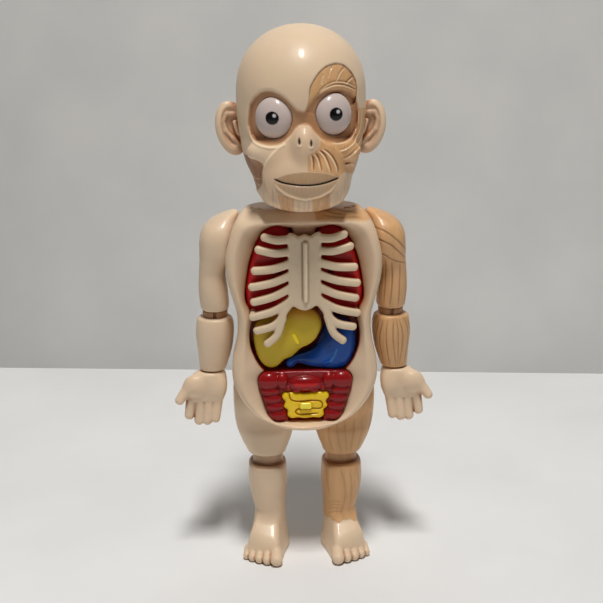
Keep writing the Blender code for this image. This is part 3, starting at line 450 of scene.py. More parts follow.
class Shader:
    """A node material in the making."""

    def __init__(self, name, roughness, coat=0.0, specular=0.5):
        self.material = bpy.data.materials.new(name)
        self.material.use_nodes = True
        self.tree = self.material.node_tree
        self.out = self.tree.nodes["Principled BSDF"]
        self.set(self.out, {"Roughness": roughness, "Coat Weight": coat, "Coat Roughness": 0.09,
                            "Specular IOR Level": specular})
        self.place = self.tree.nodes.new("ShaderNodeTexCoord").outputs["Object"]

    def set(self, node, values):
        """Sets a node's inputs, each to a value or to another node's output."""
        for key, value in values.items():
            if isinstance(value, bpy.types.NodeSocket):
                self.tree.links.new(value, node.inputs[key])
            else:
                node.inputs[key].default_value = value

    def node(self, kind, values, **settings):
        made = self.tree.nodes.new(kind)
        for key, value in settings.items():
            setattr(made, key, value)
        self.set(made, values)
        return made

    def mask(self, name):
        return self.node("ShaderNodeAttribute", {}, attribute_name=name).outputs["Fac"]

    def noise(self, scale, detail=3.0, stretch=None):
        place = self.place
        if stretch:
            place = self.node("ShaderNodeMapping", {"Scale": stretch, "Vector": place}).outputs["Vector"]
        return self.node("ShaderNodeTexNoise", {"Scale": scale, "Detail": detail, "Vector": place}).outputs["Fac"]

    def ramp(self, factor, low, high, out_low=0.0, out_high=1.0):
        return self.node("ShaderNodeMapRange", {"From Min": low, "From Max": high, "To Min": out_low,
                                                "To Max": out_high, "Value": factor}).outputs["Result"]

    def mixed(self, factor, a, b, blend="MIX"):
        return self.node("ShaderNodeMix", {0: factor, 6: a, 7: b}, data_type="RGBA", blend_type=blend).outputs[2]

    def bump(self, height, distance, strength):
        made = self.node("ShaderNodeBump", {"Strength": strength, "Distance": distance * MM, "Height": height})
        self.set(self.out, {"Normal": made.outputs["Normal"]})


GRAIN = {"muscle": 0.12, "lip": 0.06, "brown": 0.08}    # how streaky these colours are


def plastic(name, base, shade, roughness=0.4, coat=0.13, mottle=0.03, specular=0.32, **marks):
    """Moulded plastic: a base colour, painted shade that multiplies it by a shade colour in its hollows, and a colour
    for each further mask.
    """
    made = Shader(name, roughness, coat, specular)
    made.set(made.out, {"Subsurface Weight": 0.1, "Subsurface Radius": (1.0, 0.45, 0.25), "Subsurface Scale": 0.004})
    colour = made.mixed(made.ramp(made.noise(60.0), 0.35, 0.7), base, dimmed(base, mottle * 2))
    for mask, tint in marks.items():
        if mask in GRAIN:
            fibre = made.ramp(made.noise(420.0, 4.0, (1.0, 1.0, 0.12)), 0.4, 0.72)
            tint = made.mixed(fibre, tint, dimmed(tint, GRAIN[mask]))
        colour = made.mixed(made.mask(mask), colour, tint)
    # Painted shade: in hollows the colour is multiplied by the shade colour
    deep = made.ramp(made.mask("shut"), 0.12, 0.7)
    colour = made.mixed(deep, colour, made.mixed(1.0, colour, shade + (1.0,), "MULTIPLY"))
    gloss = made.ramp(made.noise(220.0, 2.0), 0.3, 0.7, roughness - 0.05, roughness + 0.07)
    made.set(made.out, {"Base Color": colour, "Roughness": gloss})
    made.bump(made.noise(900.0, 2.0), 0.02, 0.2)
    return made.material


# The skin colour, and the shade colour that multiplies it as painted shade in hollows
SKIN = srgb(233, 206, 175), (0.52, 0.29, 0.17)
# A muscle colour; a tan for muscle paint that also serves as painted shade; a darker tan for painted shade in grooves;
# and a cream for painted highlights
MUSCLE, BROWN, INK, PALE = srgb(220, 172, 122), srgb(184, 134, 92), srgb(124, 76, 42), srgb(246, 222, 188)

skin_plastic = plastic("skin_plastic", *SKIN, muscle=MUSCLE, lip=srgb(176, 146, 112), brown=BROWN, ink=INK, pale=PALE,
                       black=srgb(14, 10, 9))
muscle_plastic = plastic("muscle_plastic", *SKIN, muscle=MUSCLE, brown=BROWN, ink=INK, pale=PALE)
# Its dish and recess colours are painted shade, the recess one reddened as by light thrown back from the organs
shell_plastic = plastic("shell_plastic", *SKIN, muscle=MUSCLE, ink=INK, dish=srgb(170, 122, 84), well=srgb(206, 78, 38))
# Among the organ plastics, the lighter mark colours are painted highlights, the darker ones painted shadow, and the
# small bowel's groove colour painted shade
red_plastic = plastic("red_plastic", srgb(148, 14, 18), (0.4, 0.14, 0.14), 0.3, 0.3, 0.05, 0.2,
                      bright=srgb(206, 26, 24))
yellow_plastic = plastic("yellow_plastic", srgb(214, 184, 44), (0.6, 0.34, 0.1), 0.34, 0.2, specular=0.2,
                         dark=srgb(184, 112, 40), bright=srgb(252, 226, 40))
bowel_plastic = plastic("bowel_plastic", srgb(252, 210, 30), (0.72, 0.5, 0.14), 0.26, 0.3, specular=0.25,
                        ink=srgb(170, 122, 14), bright=srgb(255, 236, 70))
blue_plastic = plastic("blue_plastic", srgb(4, 78, 168), (0.2, 0.26, 0.42), 0.3, 0.3, specular=0.2,
                       dark=srgb(4, 22, 62), bright=srgb(70, 160, 226))
lung_plastic = plastic("lung_plastic", srgb(196, 28, 26), (0.5, 0.2, 0.2), 0.36, 0.2, 0.05, 0.2)
# Its two mark colours are a painted highlight and painted shadow for the breastbone's ridge
bone_plastic = plastic("bone_plastic", srgb(226, 204, 174), SKIN[1], 0.3, pale=srgb(250, 232, 200),
                       ink=srgb(120, 84, 54))
brain_plastic = plastic("brain_plastic", srgb(222, 160, 150), (0.5, 0.2, 0.2))
eye_plastic = plastic("eye_plastic", srgb(206, 190, 184), (0.4, 0.3, 0.24), 0.22, 0.16, 0.01, 0.3,
                      pupil=srgb(3, 3, 3), glint=srgb(210, 210, 210))


def brushed_steel():
    made = Shader("steel", 0.3)
    tone = made.mixed(made.ramp(made.noise(300.0), 0.3, 0.7), srgb(176, 176, 178), srgb(140, 140, 144))
    made.set(made.out, {"Metallic": 1.0, "Base Color": tone,
                        "Roughness": made.ramp(made.noise(500.0), 0.3, 0.7, 0.24, 0.42)})
    return made.material


steel = brushed_steel()


# ---------------------------------------------------------------- head

HEAD = route("""
    184.9,-9,9,-29,-22,-14,2.1 186.2,-13.6,13.6,-31.6,-20,-10,2.1 188.5,-18.8,18.6,-33.3,-17,-1,2.2
    193,-22.2,21.9,-35,-13,11,2.2 199,-24.2,23.7,-35.2,-9,19,2.2 206,-27.2,26.7,-33.6,-4.4,25.4,2.2
    212,-28.9,28.5,-31.8,-1,29.4,2.15 217,-29.6,29.6,-30.4,0.8,31.8,2.1 222,-30.4,30.4,-29.6,1.8,35,2.1
    229,-31.2,31.2,-29.6,3,37.6,2.05 236,-31.3,31.3,-30.2,3.8,38.3,2""")
HEAD_BOX = ((-33, -40, 183), (33, 40, 271.5))
HEAD_BASE, HEAD_SEAM = 184.9, 2.0
CROWN = (236.0, 270.0)
EYE = (13.6, -23.2)
EYE_Z = {-1: 228.3, 1: 229.7}
EYE_SIZE = (9.1, 5.8, 9.8)
EYE_TURN = math.radians(22)
NECK_Y = 2.0
WALL = 3.6

FACE_LOW, FACE_HIGH = (-33, 183), (33, 272)
PATCH = route("""
    0.8,232 1.7,234.8 2.4,238.6 3,242.4 4.9,245.8 7.3,248.9 10.6,251.3 14.7,252.3 18.7,251.4 22.3,248.2 24.6,244.2
    25.3,240 24.7,236.2 23.6,233.2""")
# The hollow around both eyes and across the bridge of the nose
BROW = route("""
    -25.6,227 -25.1,230.5 -24.4,234 -22.2,237.6 -19.5,240.1 -16.8,240.9 -14.1,240.7 -11.2,239.2 -8.9,237.6 -6.6,235.4
    -5.1,233.9 -3.3,232.3 -1.5,231.6 0,231.5""")
UNDER = route("""
    -25.5,224.4 -25.1,222.2 -24.4,219.9 -23.1,218.3 -21.6,217.4 -19.5,216.6 -17.2,216.1 -14.9,216 -12.6,216.3
    -10.8,216.9 -8.9,217.9""")
NOSE_LEFT = route("-0.2,225.5 -2.5,224.8 -4.4,223 -6.2,220.7 -8.9,217.9")
NOSE_RIGHT = route("1.6,225.3 2.9,224.4 4.3,222.5 5.7,220.9 7.9,218.6 9.8,217.4")
SOCKET_RIGHT = route("""
    1.2,232.2 2.6,234.6 4.6,237.2 6.6,238.9 9.5,240 12.8,240.5 17,240.4 21.2,239.2 24.2,236.4 25.8,232.6 26.3,228
    25.9,224 25.2,221.4 23.8,219.2 21,217.8 18.2,217 15,216.7 12.2,217.2""")
SNOUT_LEFT = NOSE_LEFT + route("-11.7,215.6 -14.1,213.5 -15.9,211.4 -17.5,209 -18.6,206.5 -19.3,203 -19,199")
SNOUT_RIGHT = NOSE_RIGHT + route("13,216 14.8,214.5 16.2,213.1 17.8,210.4 19,206 19.3,201")
MOUTH = route("-14.2,201.2 -10.7,200 -7.1,199.4 -3.9,199 -0.2,198.8 3.4,198.9 6.7,199.2 10.9,200 15.6,201.3")
UPPER_LIP = route("-14.2,201.2 -12,202.4 -9.2,203.6 -4.7,204.6 -0.1,204.9 4.4,204.7 9.1,204 12.9,202.7 15.6,201.3")
LOWER_LIP = route("""
    -14.3,199.2 -13,197.6 -11.2,196.2 -8.9,194.7 -6.7,193.8 -3.5,192.8 -0.3,192.2 3,192.6 5.8,193.1 8.6,194.1
    10.9,195.3 12.9,196.7 14.3,198.7""")


def face_charts():
    """Relief of the face, and where its colours, painted highlights and painted shade are."""
    charts = {name: Chart(FACE_LOW, FACE_HIGH) for name in ("relief", "muscle", "ink", "lip", "black", "brown", "pale")}
    relief, muscle, ink, lip, black, brown, pale = charts.values()

    # Sockets and snout: painted shade fills the sockets, the snout gets a faint tan, and painted highlights run along
    # the brow, under the eyes and down the snout's edges
    sockets = BROW + SOCKET_RIGHT[:-1] + [(9.8, 217.7)] + NOSE_RIGHT[::-1][1:] + NOSE_LEFT + UNDER[::-1][1:]
    relief.area(sockets, 1.4, 1.2, add=True)
    brown.area(sockets, 0.9, 0.8)
    snout = SNOUT_LEFT[::-1] + SNOUT_RIGHT + route("18.6,195 16,190 0,187 -16,190 -18.2,195")
    relief.area(snout, -1.0, 0.6, add=True)
    brown.area(snout, 0.22, 0.5)
    pale.stroke(BROW[:8], 0.35, 0.5, 0.3)
    pale.stroke(moved(UNDER, 0, -0.5), 0.5, 0.9, 0.2)
    pale.stroke(SNOUT_LEFT, 0.34, 0.9, 0.15)
    pale.stroke(SNOUT_RIGHT[:6], 0.3, 0.7, 0.2)
    relief.stroke(moved(UNDER, 0, -0.7), 0.7, -0.6, 0.2)
    relief.stroke(SNOUT_LEFT[4:], 0.4, -0.3, 0.2)

    # The bare muscle round the left eye, with painted shade in its grooves and painted highlights on its ridges
    side = route("""
        23.6,232.6 25.9,231.6 29.4,231.1 33,230 33,202 27,200.5 21.8,201.7 18.9,203.6 16.3,202.7 15.6,201.4 12.9,202.2
        9.1,203.4 4.4,204.1 1.1,204.3 1.2,212.4 3.7,213.4 6.1,214.7 7.1,216.4 7.2,218.8 4.5,223 1.8,226 2,230 9,234""")
    muscle.area(PATCH + route("15,229 6,227 0.8,229"), 1.0, 0.25)
    muscle.area(side, 1.0, 0.3)
    relief.area(PATCH + route("15,231 6,229"), 0.6, 0.35, add=True)
    relief.stroke(PATCH[2:], 0.4, 0.4, 0.04)
    ink.stroke(PATCH[2:], 0.26, 0.7, 0.05)
    arcs = [
        (route("6.3,239.2 8.6,241.2 12.2,242.9 15.3,243.4 19.9,242.6 24.6,240.2"), 0.36, 0.5),
        (route("6.9,240.6 9,242.4 12.4,244.2 16,244.7 20.6,243.7 24.6,241.6"), 0.3, 0.35),
        (route("13.4,251.6 12.2,249.6 11.6,246.4"), 0.3, 0.35),
        (route("18.9,250.6 16.6,248 15.2,245"), 0.3, 0.4),
        (route("23.2,246.2 21,244.8 19.6,243.6"), 0.3, 0.4),
        (route("9,248.2 8.4,245.8 8.4,243.6"), 0.28, 0.25),
    ]
    for points, width, depth in arcs:
        relief.stroke(points, width, depth, 0.12)
        ink.stroke(points, width * 0.7, 0.65, 0.15)
        relief.stroke(moved(points, 0, -0.9), 0.45, -0.3, 0.2)
        pale.stroke(moved(points, 0, -0.75), 0.3, 0.6, 0.2)
    ridges = [
        route("12.2,217.2 15,216.6 18.2,216.9 20.9,217.8 23.5,219.2 25.4,222"),
        route("26.2,230 26.2,226.6 25.9,223.6"),
        route("27.4,231 27.8,225 26.4,219.6 23,216.2 19.4,213.9 16.2,212.9"),
        route("30.2,229 29.6,220 27.4,215.8 25.2,213.4 21.2,210.3 17.9,209.1"),
        route("18.8,206.4 21.6,206.9 24.6,205.4"),
    ]
    for points in ridges:
        relief.stroke(points, 0.5, -0.6, 0.2)
        pale.stroke(points, 0.26, 0.65, 0.2)
        relief.stroke(moved(points, -0.8, 0.5), 0.4, 0.35, 0.2)
        ink.stroke(moved(points, -0.6, 0.45), 0.26, 0.4, 0.3)
    for u in np.arange(14.0, 22.0, 1.6):
        ink.stroke([(u, 216.4), (u - 0.6, 213.8)], 0.24, 0.25, 0.3)

    # Grooves of the muscle beside the nose, with painted shade in them and painted highlights beside them
    grooves = [route("3.1,212.3 3.7,210.4 3.9,208.2 3.8,205.3"), route("4.9,213 6.3,210.6 7.1,208 7.7,204.9"),
               route("7,214 9.3,211.6 11.1,207.8 12.2,203.7"),
               route("8.7,214.5 11.2,212.7 13.5,209.8 15.2,205.9 15.3,203.2")]
    for points in grooves:
        relief.stroke(points, 0.36, 0.55, 0.12)
        ink.stroke(points, 0.24, 0.7, 0.2)
        relief.stroke(moved(points, -0.9, -0.1), 0.5, -0.4, 0.3)
        pale.stroke(moved(points, -0.75, -0.1), 0.36, 0.95, 0.3)
    relief.stroke(route("1.2,212.4 1.1,205"), 0.3, 0.12, 0.05)

    # Lips and mouth, with painted highlights along the edges of the lips
    relief.area(UPPER_LIP + MOUTH[::-1][1:-1], 0.15, 0.3, add=True)
    lip.area(UPPER_LIP + MOUTH[::-1][1:-1], 0.9, 0.2)
    relief.stroke(MOUTH, 0.42, 0.8, 0.05)
    black.stroke(MOUTH, 0.33, 1.7, 0.04)
    relief.stroke(LOWER_LIP, 0.42, -0.5, 0.1)
    pale.stroke(LOWER_LIP, 0.28, 1.0, 0.15)
    relief.stroke([(u * 1.03, v - 0.8) for u, v in LOWER_LIP], 0.4, 0.3, 0.12)
    lip.area(MOUTH + LOWER_LIP[::-1], 0.55, 0.3)
    pale.stroke(UPPER_LIP, 0.24, 0.6, 0.2)

    # Fibres of the chin, painted highlights on some and painted shade on the rest, and lines of painted shade across
    # the lips
    for panel in (route("-13,194.4 -9,193.6 -5.3,192.6 -5.6,184 -10.6,184.4"),
                  route("3,192.4 6.6,193.2 11,194.6 12,184.6 3.6,184")):
        muscle.area(panel, 0.85, 0.3)
        brown.area(panel, 0.3, 0.3)
    for i in range(27):
        u = -21.5 + i * 1.62 + 0.5 * math.sin(i * 2.4)
        start = 191.6 + 0.024 * u * u + 0.6 * math.sin(i * 5.1)
        points = [(u, start), (u * 0.97, 188.5), (u * 0.84, 183.6)]
        relief.stroke(points, 0.3, 0.15 + 0.1 * math.sin(i * 3.7), 0.25)
        (pale if i % 3 == 0 else ink).stroke(points, 0.24, 0.22 + 0.1 * math.sin(i * 1.9), 0.3)
    for i in range(13):
        u = -12.0 + i * 2.0
        ink.stroke([(u, 198.4 + 0.006 * u * u), (u * 0.96, 194.0 + 0.02 * u * u)], 0.26, 0.14, 0.4)
        ink.stroke([(u, 203.8 - 0.012 * u * u), (u * 0.98, 199.6 + 0.006 * u * u)], 0.26, 0.12, 0.4)

    # The bare muscle of the jaw on the other side, darkened more with painted shade where it faces down
    jaw = route("""
        -31,210.6 -25.1,209.9 -22.8,209.6 -20.9,208.8 -19.6,207.8 -18.9,206.1 -19.3,203.7 -19.5,201.3 -19.5,199
        -20.1,196.9 -21.8,194.4 -26,192 -33,198""")
    brown.area(jaw, 1.0, 0.4)
    ink.area(jaw, 0.35, 0.4)
    relief.area(jaw, 0.4, 0.5, add=True)
    for points in (route("-24.6,200.6 -22,200 -19.8,200.4"), route("-23.6,197.6 -21.4,197 -19.9,197.3")):
        pale.stroke(points, 0.24, 0.5, 0.3)
        relief.stroke(points, 0.3, -0.2, 0.3)
    # Nostrils painted black as painted shade in their holes, with a painted highlight under each
    for u, v in ((-2.6, 218.7), (2.8, 217.8)):
        black.area([(u - 0.6, v), (u, v + 1.8), (u + 0.6, v), (u, v - 1.6)], 1.0, 0.3, 4)
        pale.stroke([(u - 1.0, v - 1.5), (u, v - 2.3), (u + 1.0, v - 1.5)], 0.4, 0.7, 0.2)
        relief.stroke([(u - 1.0, v - 1.6), (u, v - 2.4), (u + 1.0, v - 1.6)], 0.5, -0.35, 0.2)
    return charts


FACE = face_charts()


def plain_head(x, y, z, offset=0.0):
    return both(column(x, y, z, HEAD, top=CROWN, offset=offset), HEAD_BASE - z - offset, 2.0)


def head_form(x, y, z):
    """The whole head without its ears."""
    form = plain_head(x, y, z)
    fine = y < -2
    if not fine.any():
        return form
    a, b, c = x[fine], y[fine], z[fine]
    # Snout, bridge of the nose, cheeks and nostrils
    face = union(form[fine], ellipsoid(a, b, c, (0, -19.0, 199.8), (19.6, 17.4, 15.6)), 3.0)
    face = union(face, ellipsoid(a, b, c, (0, -28.0, 214.4), (6.0, 7.4, 10.2)), 2.8)
    for s in (-1, 1):
        face = union(face, ellipsoid(a, b, c, (s * 15.0, -22.8, 212.6), (11.5, 6.2, 6.0)), 5.0)
        nostril = 218.9 if s < 0 else 218.0
        face = cut(face, rod(a, b, c, (s * 2.7, -37.6, nostril + 1.2), (s * 2.6, -33.0, nostril - 1.2), 0.7), 0.4)
    face = face + FACE["relief"].read(a, c) * ease(-b, 5, 11) * ease(-np.abs(a), -29, -23)
    form = form.copy()
    form[fine] = np.maximum(face, HEAD_BASE - c)
    return form


def neck(x, y, z, low, high, radius):
    return drum(x, y, z, (0, NECK_Y, low), (0, NECK_Y, high), radius)


def shell_of(form, x, y, z):
    """Hollows the head and makes room for its neck."""
    form = cut(form, both(plain_head(x, y, z, -WALL), -17.6 - y), 0.6)
    form = union(form, neck(x, y, z, 185.0, 197.0, 11.2))
    return cut(cut(form, neck(x, y, z, 191.0, 206.0, 8.2)), neck(x, y, z, 180.0, 195.0, 6.0))


def eye_form(side, x, y, z, extra=0.0):
    """An eyeball's front: an upright egg that faces a little outwards."""
    u = (x - side * EYE[0]) * math.cos(EYE_TURN) + side * (y - EYE[1]) * math.sin(EYE_TURN)
    w = (y - EYE[1]) * math.cos(EYE_TURN) - side * (x - side * EYE[0]) * math.sin(EYE_TURN)
    return ellipsoid(u, w, z, (0, 0, EYE_Z[side]), [r + extra for r in EYE_SIZE])


def face_field(x, y, z):
    form = shell_of(head_form(x, y, z), x, y, z)
    for s in (-1, 1):
        form = cut(form, eye_form(s, x, y, z, 0.25))
    return both(form, y - (HEAD_SEAM - SEAM), 0.3)


def face_with_eyes(x, y, z):
    return np.minimum(head_form(x, y, z), np.minimum(eye_form(1, x, y, z), eye_form(-1, x, y, z)))


def ear_form(x, y, z):
    """A thick C-shaped rim around a hollow with an inner fold, on the left side."""
    lean = 0.2
    u = (x - 33.6) * math.cos(lean) - (z - 220.4) * math.sin(lean)
    v = (x - 33.6) * math.sin(lean) + (z - 220.4) * math.cos(lean)
    w = y - 8.0 + 0.12 * u
    bowl = ellipsoid(u, w, v, (-0.7, -3.0, 0.4), (5.5, 3.3, 10.6))
    form = cut(ellipsoid(u, w, v, (0, 0, 0), (8.0, 3.4, 13.4)), bowl, 0.9)
    fold = route("-3.4,6.4 0.9,7.6 3.6,4.6 3.2,-0.4 0.6,-4.6 -2.4,-8.4")
    for (a, b), (c, d) in zip(fold, fold[1:]):
        form = union(form, rod(u, w, v, (a, -0.6, b), (c, -0.6, d), 1.15), 0.8)
    return union(form, rod(u, w, v, (-2.2, -0.5, 2.4), (-3.2, -0.9, -2.6), 1.5, 1.9), 1.0)


def skull_field(x, y, z):
    form = shell_of(union(head_form(x, y, z), ear_form(np.abs(x), y, z), 1.2), x, y, z)
    back = both(form, (HEAD_SEAM + SEAM) - y, 0.3)
    return union(back, cut(ear_form(np.abs(x), y, z), plain_head(x, y, z, 0.25), 0.1))


def facing(chart, start, end):
    return lambda x, y, z: chart.read(x, z) * ease(-y, start, end)


FACE_MASKS = {name: facing(FACE[name], *reach) for name, reach in (
    ("muscle", (1, 3)), ("lip", (5, 12)), ("ink", (2, 6)), ("black", (5, 12)), ("brown", (1, 3)), ("pale", (2, 6)))}

# The face's painted shade is measured with the eyes in place, so its sockets are not darkened as open holes
piece("face", face_field, HEAD_BOX[0], (33, 2.5, 271.5), 0.42, skin_plastic, "head", "face_shell", "skin", FACE_MASKS,
      among=face_with_eyes)
piece("back_of_skull", skull_field, (-43.5, 1.0, 183), (43.5, 40, 271.5), 0.55, skin_plastic, "skull", "skull_back",
      "skin")


def eye_masks(side):
    """The pupil and the spark painted on it, where the eye is seen from the front."""
    centre = (side * 14.3 + (0.35 if side > 0 else -0.35), EYE_Z[side] + 0.35)

    def near(dx, dz, radius, edge):
        def mask(x, y, z):
            away = np.hypot(x - centre[0] - dx, z - centre[1] - dz)
            return ease(-away, -radius - edge, -radius + edge) * ease(-y, 20, 22)
        return mask
    return {"pupil": near(0, 0, 3.05, 0.14), "glint": near(0.95, 1.15, 0.8, 0.3)}


for word, flip in SIDES:
    s = -1 if flip else 1
    c = s * EYE[0]
    piece("eyeball_" + word, lambda x, y, z: both(eye_form(s, x, y, z), y + 19.6, 0.4), (c - 12, -31, 217),
          (c + 12, -18, 241), 0.35, eye_plastic, "head", "eye_" + word, "eye", eye_masks(s))


# ---------------------------------------------------------------- torso

TORSO = route("""
    73.4,6,-22,-12,-2,2.6 74.2,13.5,-23,-12,8,2.6 78.5,23.4,-23.5,-12,15,2.8 85,29.8,-23.6,-12,18,3
    91,33.4,-23.6,-12,19.5,3 98.5,36,-23.6,-11,20,3 108,35.8,-23.3,-10,18.5,3 120,33.3,-23,-10,16.5,3
    131,33,-23.4,-11,17,3 141,35.4,-23.9,-12,18.5,3 150,37.6,-24.3,-12,20,3 160,38.1,-24.4,-12,21,3
    170,36,-24,-12,20.5,2.9 177,33.4,-22.6,-11,18.5,2.8 181,30.6,-19,-8,16,2.6 183.4,27.2,-15.5,-4,14.5,2.4
    184.3,20,-10.5,0,12.5,2.2""")
TORSO = [(z, -half, half, front, mid, back, power) for z, half, front, mid, back, power in TORSO]
TORSO_BASE, TORSO_TOP = 73.4, 184.3
RIM = route("""
    0,178 16,178 28,176.8 33.2,171.5 35.8,160 35.2,149 32.6,139 30.4,129 31,119 33.4,107 33.4,97 29.8,88 22.5,80.4
    12,76.4 0,75.8""")
OPENING = route("""
    0,174.6 7,174.8 14,176.2 20.5,172.6 25.6,162 28.2,150 29,139 25.6,131.6 27.3,122 26,112.5 20,103.4 23.6,98.5
    21.6,89.5 16.8,78 0,76.6""")
CHEST = OPENING[:10] + route("20,102.8 10,101.6 0,101.4")
BOWEL = route("0,104 12,104 20,103 23.6,98.5 21.6,89.5 16.8,78 9,76.6 0,76.4")
RIM_Y, DISH_Y, CHEST_Y, BOWEL_Y = -21.4, -15.5, -3.0, -12.8
BODY_SEAM = 1.0
SHOULDER, SHOULDER_TILT = (31.25, 1.0, 168.0), math.radians(6)
SHOULDER_AXIS = (math.cos(SHOULDER_TILT), math.sin(SHOULDER_TILT), 0)
HIP = (3.0, 82.0)
ARM_ROOM, HIP_BLOCK, POCKET, POCKET_Y = 15.7, 5.2, 13.7, -10.8
PEGS = {"lung": (17.5, 152.0, CHEST_Y), "kidney": (15.5, 117.0, CHEST_Y), "heart": (0.0, 150.0, CHEST_Y),
        "liver": (-5.0, 128.0, CHEST_Y), "stomach": (9.0, 108.5, CHEST_Y), "small": (0.0, 85.5, BOWEL_Y),
        "large": (0.0, 97.6, BOWEL_Y)}
RIB_PEG = (25.2, 133.4)
SCREWS = route("20,160 -20,160 20,122 -20,122 0,140 0,108")

BODY_LOW, BODY_HIGH = (-42, 70), (42, 188)
rim_plan, open_plan, chest_plan, bowel_plan = (
    Plan(BODY_LOW, BODY_HIGH, 0.3).shape(both_sides(half)) for half in (RIM, OPENING, CHEST, BOWEL))
open_plan.softened(260)


def along_shoulder(share):
    return [p + share * q for p, q in zip(SHOULDER, SHOULDER_AXIS)]


def rib_peg(x, y, z, front, back, radius):
    return drum(np.abs(x), y, z, (RIB_PEG[0], front, RIB_PEG[1]), (RIB_PEG[0], back, RIB_PEG[1]), radius)


def across(x, z):
    """How far a point is from the rim, at 0, to the opening, at 1."""
    rim, hole = -rim_plan.read(x, z), open_plan.read(x, z)
    return np.clip(rim / (np.maximum(rim, 0) + np.maximum(hole, 0) + 1e-3), 0, 1)


def torso_form(x, y, z):
    form = ended(column(x, y, z, TORSO), z, TORSO_BASE, TORSO_TOP, 1.2)
    front = y < 2
    a, b, c = x[front], y[front], z[front]
    # The dish, and the recesses in its floor for the chest and the bowels
    level = RIM_Y + (DISH_Y - RIM_Y) * across(a, c) ** 0.85
    shape = cut(form[front], both(rim_plan.read(a, c), b - level, 0.5), 2.2)
    for plan, floor in ((chest_plan, CHEST_Y), (bowel_plan, BOWEL_Y)):
        shape = cut(shape, both(plan.read(a, c), b - floor, 0.4), 0.7)
    form = form.copy()
    form[front] = shape
    # Room for the upper arms and the thighs
    side = np.abs(x)
    form = cut(form, drum(side, y, z, along_shoulder(-SEAM), along_shoulder(30), ARM_ROOM), 0.5)
    pocket = union(drum(side, y, z, (HIP_BLOCK, *HIP), (60, *HIP), POCKET),
                   slab(side, y, z, (HIP_BLOCK, POCKET_Y, 40), (60, 60, HIP[1])))
    return cut(form, pocket, 0.5)


def torso_front(x, y, z):
    form = torso_form(x, y, z)
    # The solid ground between the tops of the lungs
    form = union(form, slab(x, y, z, (-5.4, -16.6, 162.0), (5.4, -2.0, 178.0), 1.0), 1.5)
    for name, (u, v, floor) in PEGS.items():
        side = np.abs(x) if name in ("lung", "kidney") else x
        form = cut(form, drum(side, y, z, (u, floor - 1, v), (u, floor + 3, v), 1.8), 0.2)
    form = cut(form, rib_peg(x, y, z, -22, -10, 1.7), 0.2)
    return both(form, y - (BODY_SEAM - SEAM), 0.5)


def torso_back(x, y, z):
    form = torso_form(x, y, z)
    # A shallow spine furrow, and the swell of the shoulder blades and the seat
    form = form + 0.9 * np.exp(-(x / 2.6) ** 2) * ease(z, 84, 100) * ease(-z, -176, -160) * ease(y, 8, 14)
    for s in (-1, 1):
        form = union(form, ellipsoid(x, y, z, (s * 16.5, 15.6, 160.0), (9.5, 4.6, 13.0)), 5.0)
        form = union(form, ellipsoid(x, y, z, (s * 13.5, 14.6, 92.0), (10.5, 4.4, 9.0)), 5.0)
    for u, v in SCREWS:
        form = cut(form, drum(x, y, z, (u, 11.5, v), (u, 40, v), 2.6), 0.4)
    return both(form, (BODY_SEAM + SEAM) - y, 0.5)


yoke = Chart(BODY_LOW, BODY_HIGH, 0.25)
yoke.area(route("""
    5,190 5.5,179.4 14,179.2 24,178.8 31,176.8 35.5,172 42,160 42,190"""), 1.0, 0.9)
yoke_ink, yoke_relief = Chart(BODY_LOW, BODY_HIGH, 0.2), Chart(BODY_LOW, BODY_HIGH, 0.2)
# Grooves in the muscle of the yoke, darkened with painted shade
for stroke in routes("""
8,184.5 13,182.4 20,181.2
12,184.5 18,183 26,181.4
20,180.2 26,179.8 31.5,177.6
9,181.6 14,180.6 20,180.2"""):
    yoke_relief.stroke(stroke, 0.35, 0.35, 0.2)
    yoke_ink.stroke(stroke, 0.3, 0.55, 0.25)


def torso_with_yoke(x, y, z):
    return torso_front(x, y, z) + yoke_relief.read(x, z) * ease(z, 178.5, 180.5)


def in_well(x, y, z):
    """Painted shade, reddened as by light thrown back from the organs, on the walls and floor behind the dish."""
    inside = np.minimum(chest_plan.read(x, z), bowel_plan.read(x, z))
    bridge = ease(z, 159, 163) * ease(-np.abs(x), -7.5, -6.5)
    return ease(-inside, -0.55, -0.1) * ease(y, DISH_Y - 0.3, DISH_Y + 1.0) * (1 - bridge) * ease(-z, -179, -178)


def in_dish(x, y, z):
    """Painted shade in the dish, from none at its rim to most at the hole in it, and most of all at the top."""
    tall = 0.25 + 0.75 * ease(z, 104, 150)
    return across(x, z) ** 1.4 * tall * ease(-y, -2, 0) * ease(-z, -182, -178) * ease(y, -23.5, -20)


# Painted shade in the dish and in the recess behind it, muscle paint on the yoke, and painted shade in the yoke's
# grooves
TORSO_MASKS = {"well": in_well, "dish": in_dish,
               "muscle": lambda x, y, z: yoke.read(x, z) * ease(z, 177.2, 179.2) * ease(-y, -2, 0),
               "ink": lambda x, y, z: yoke_ink.read(x, z) * ease(z, 178.5, 180.5)}
piece("torso_shell_front", torso_with_yoke, (-39, -25, 72), (39, 1.5, 185), 0.5, shell_plastic, "torso", "torso_front",
      "skin", TORSO_MASKS)
piece("torso_shell_back", torso_back, (-39, 0.5, 72), (39, 23, 185), 0.7, skin_plastic, "torso", "torso_back", "skin")


# ---------------------------------------------------------------- ribs

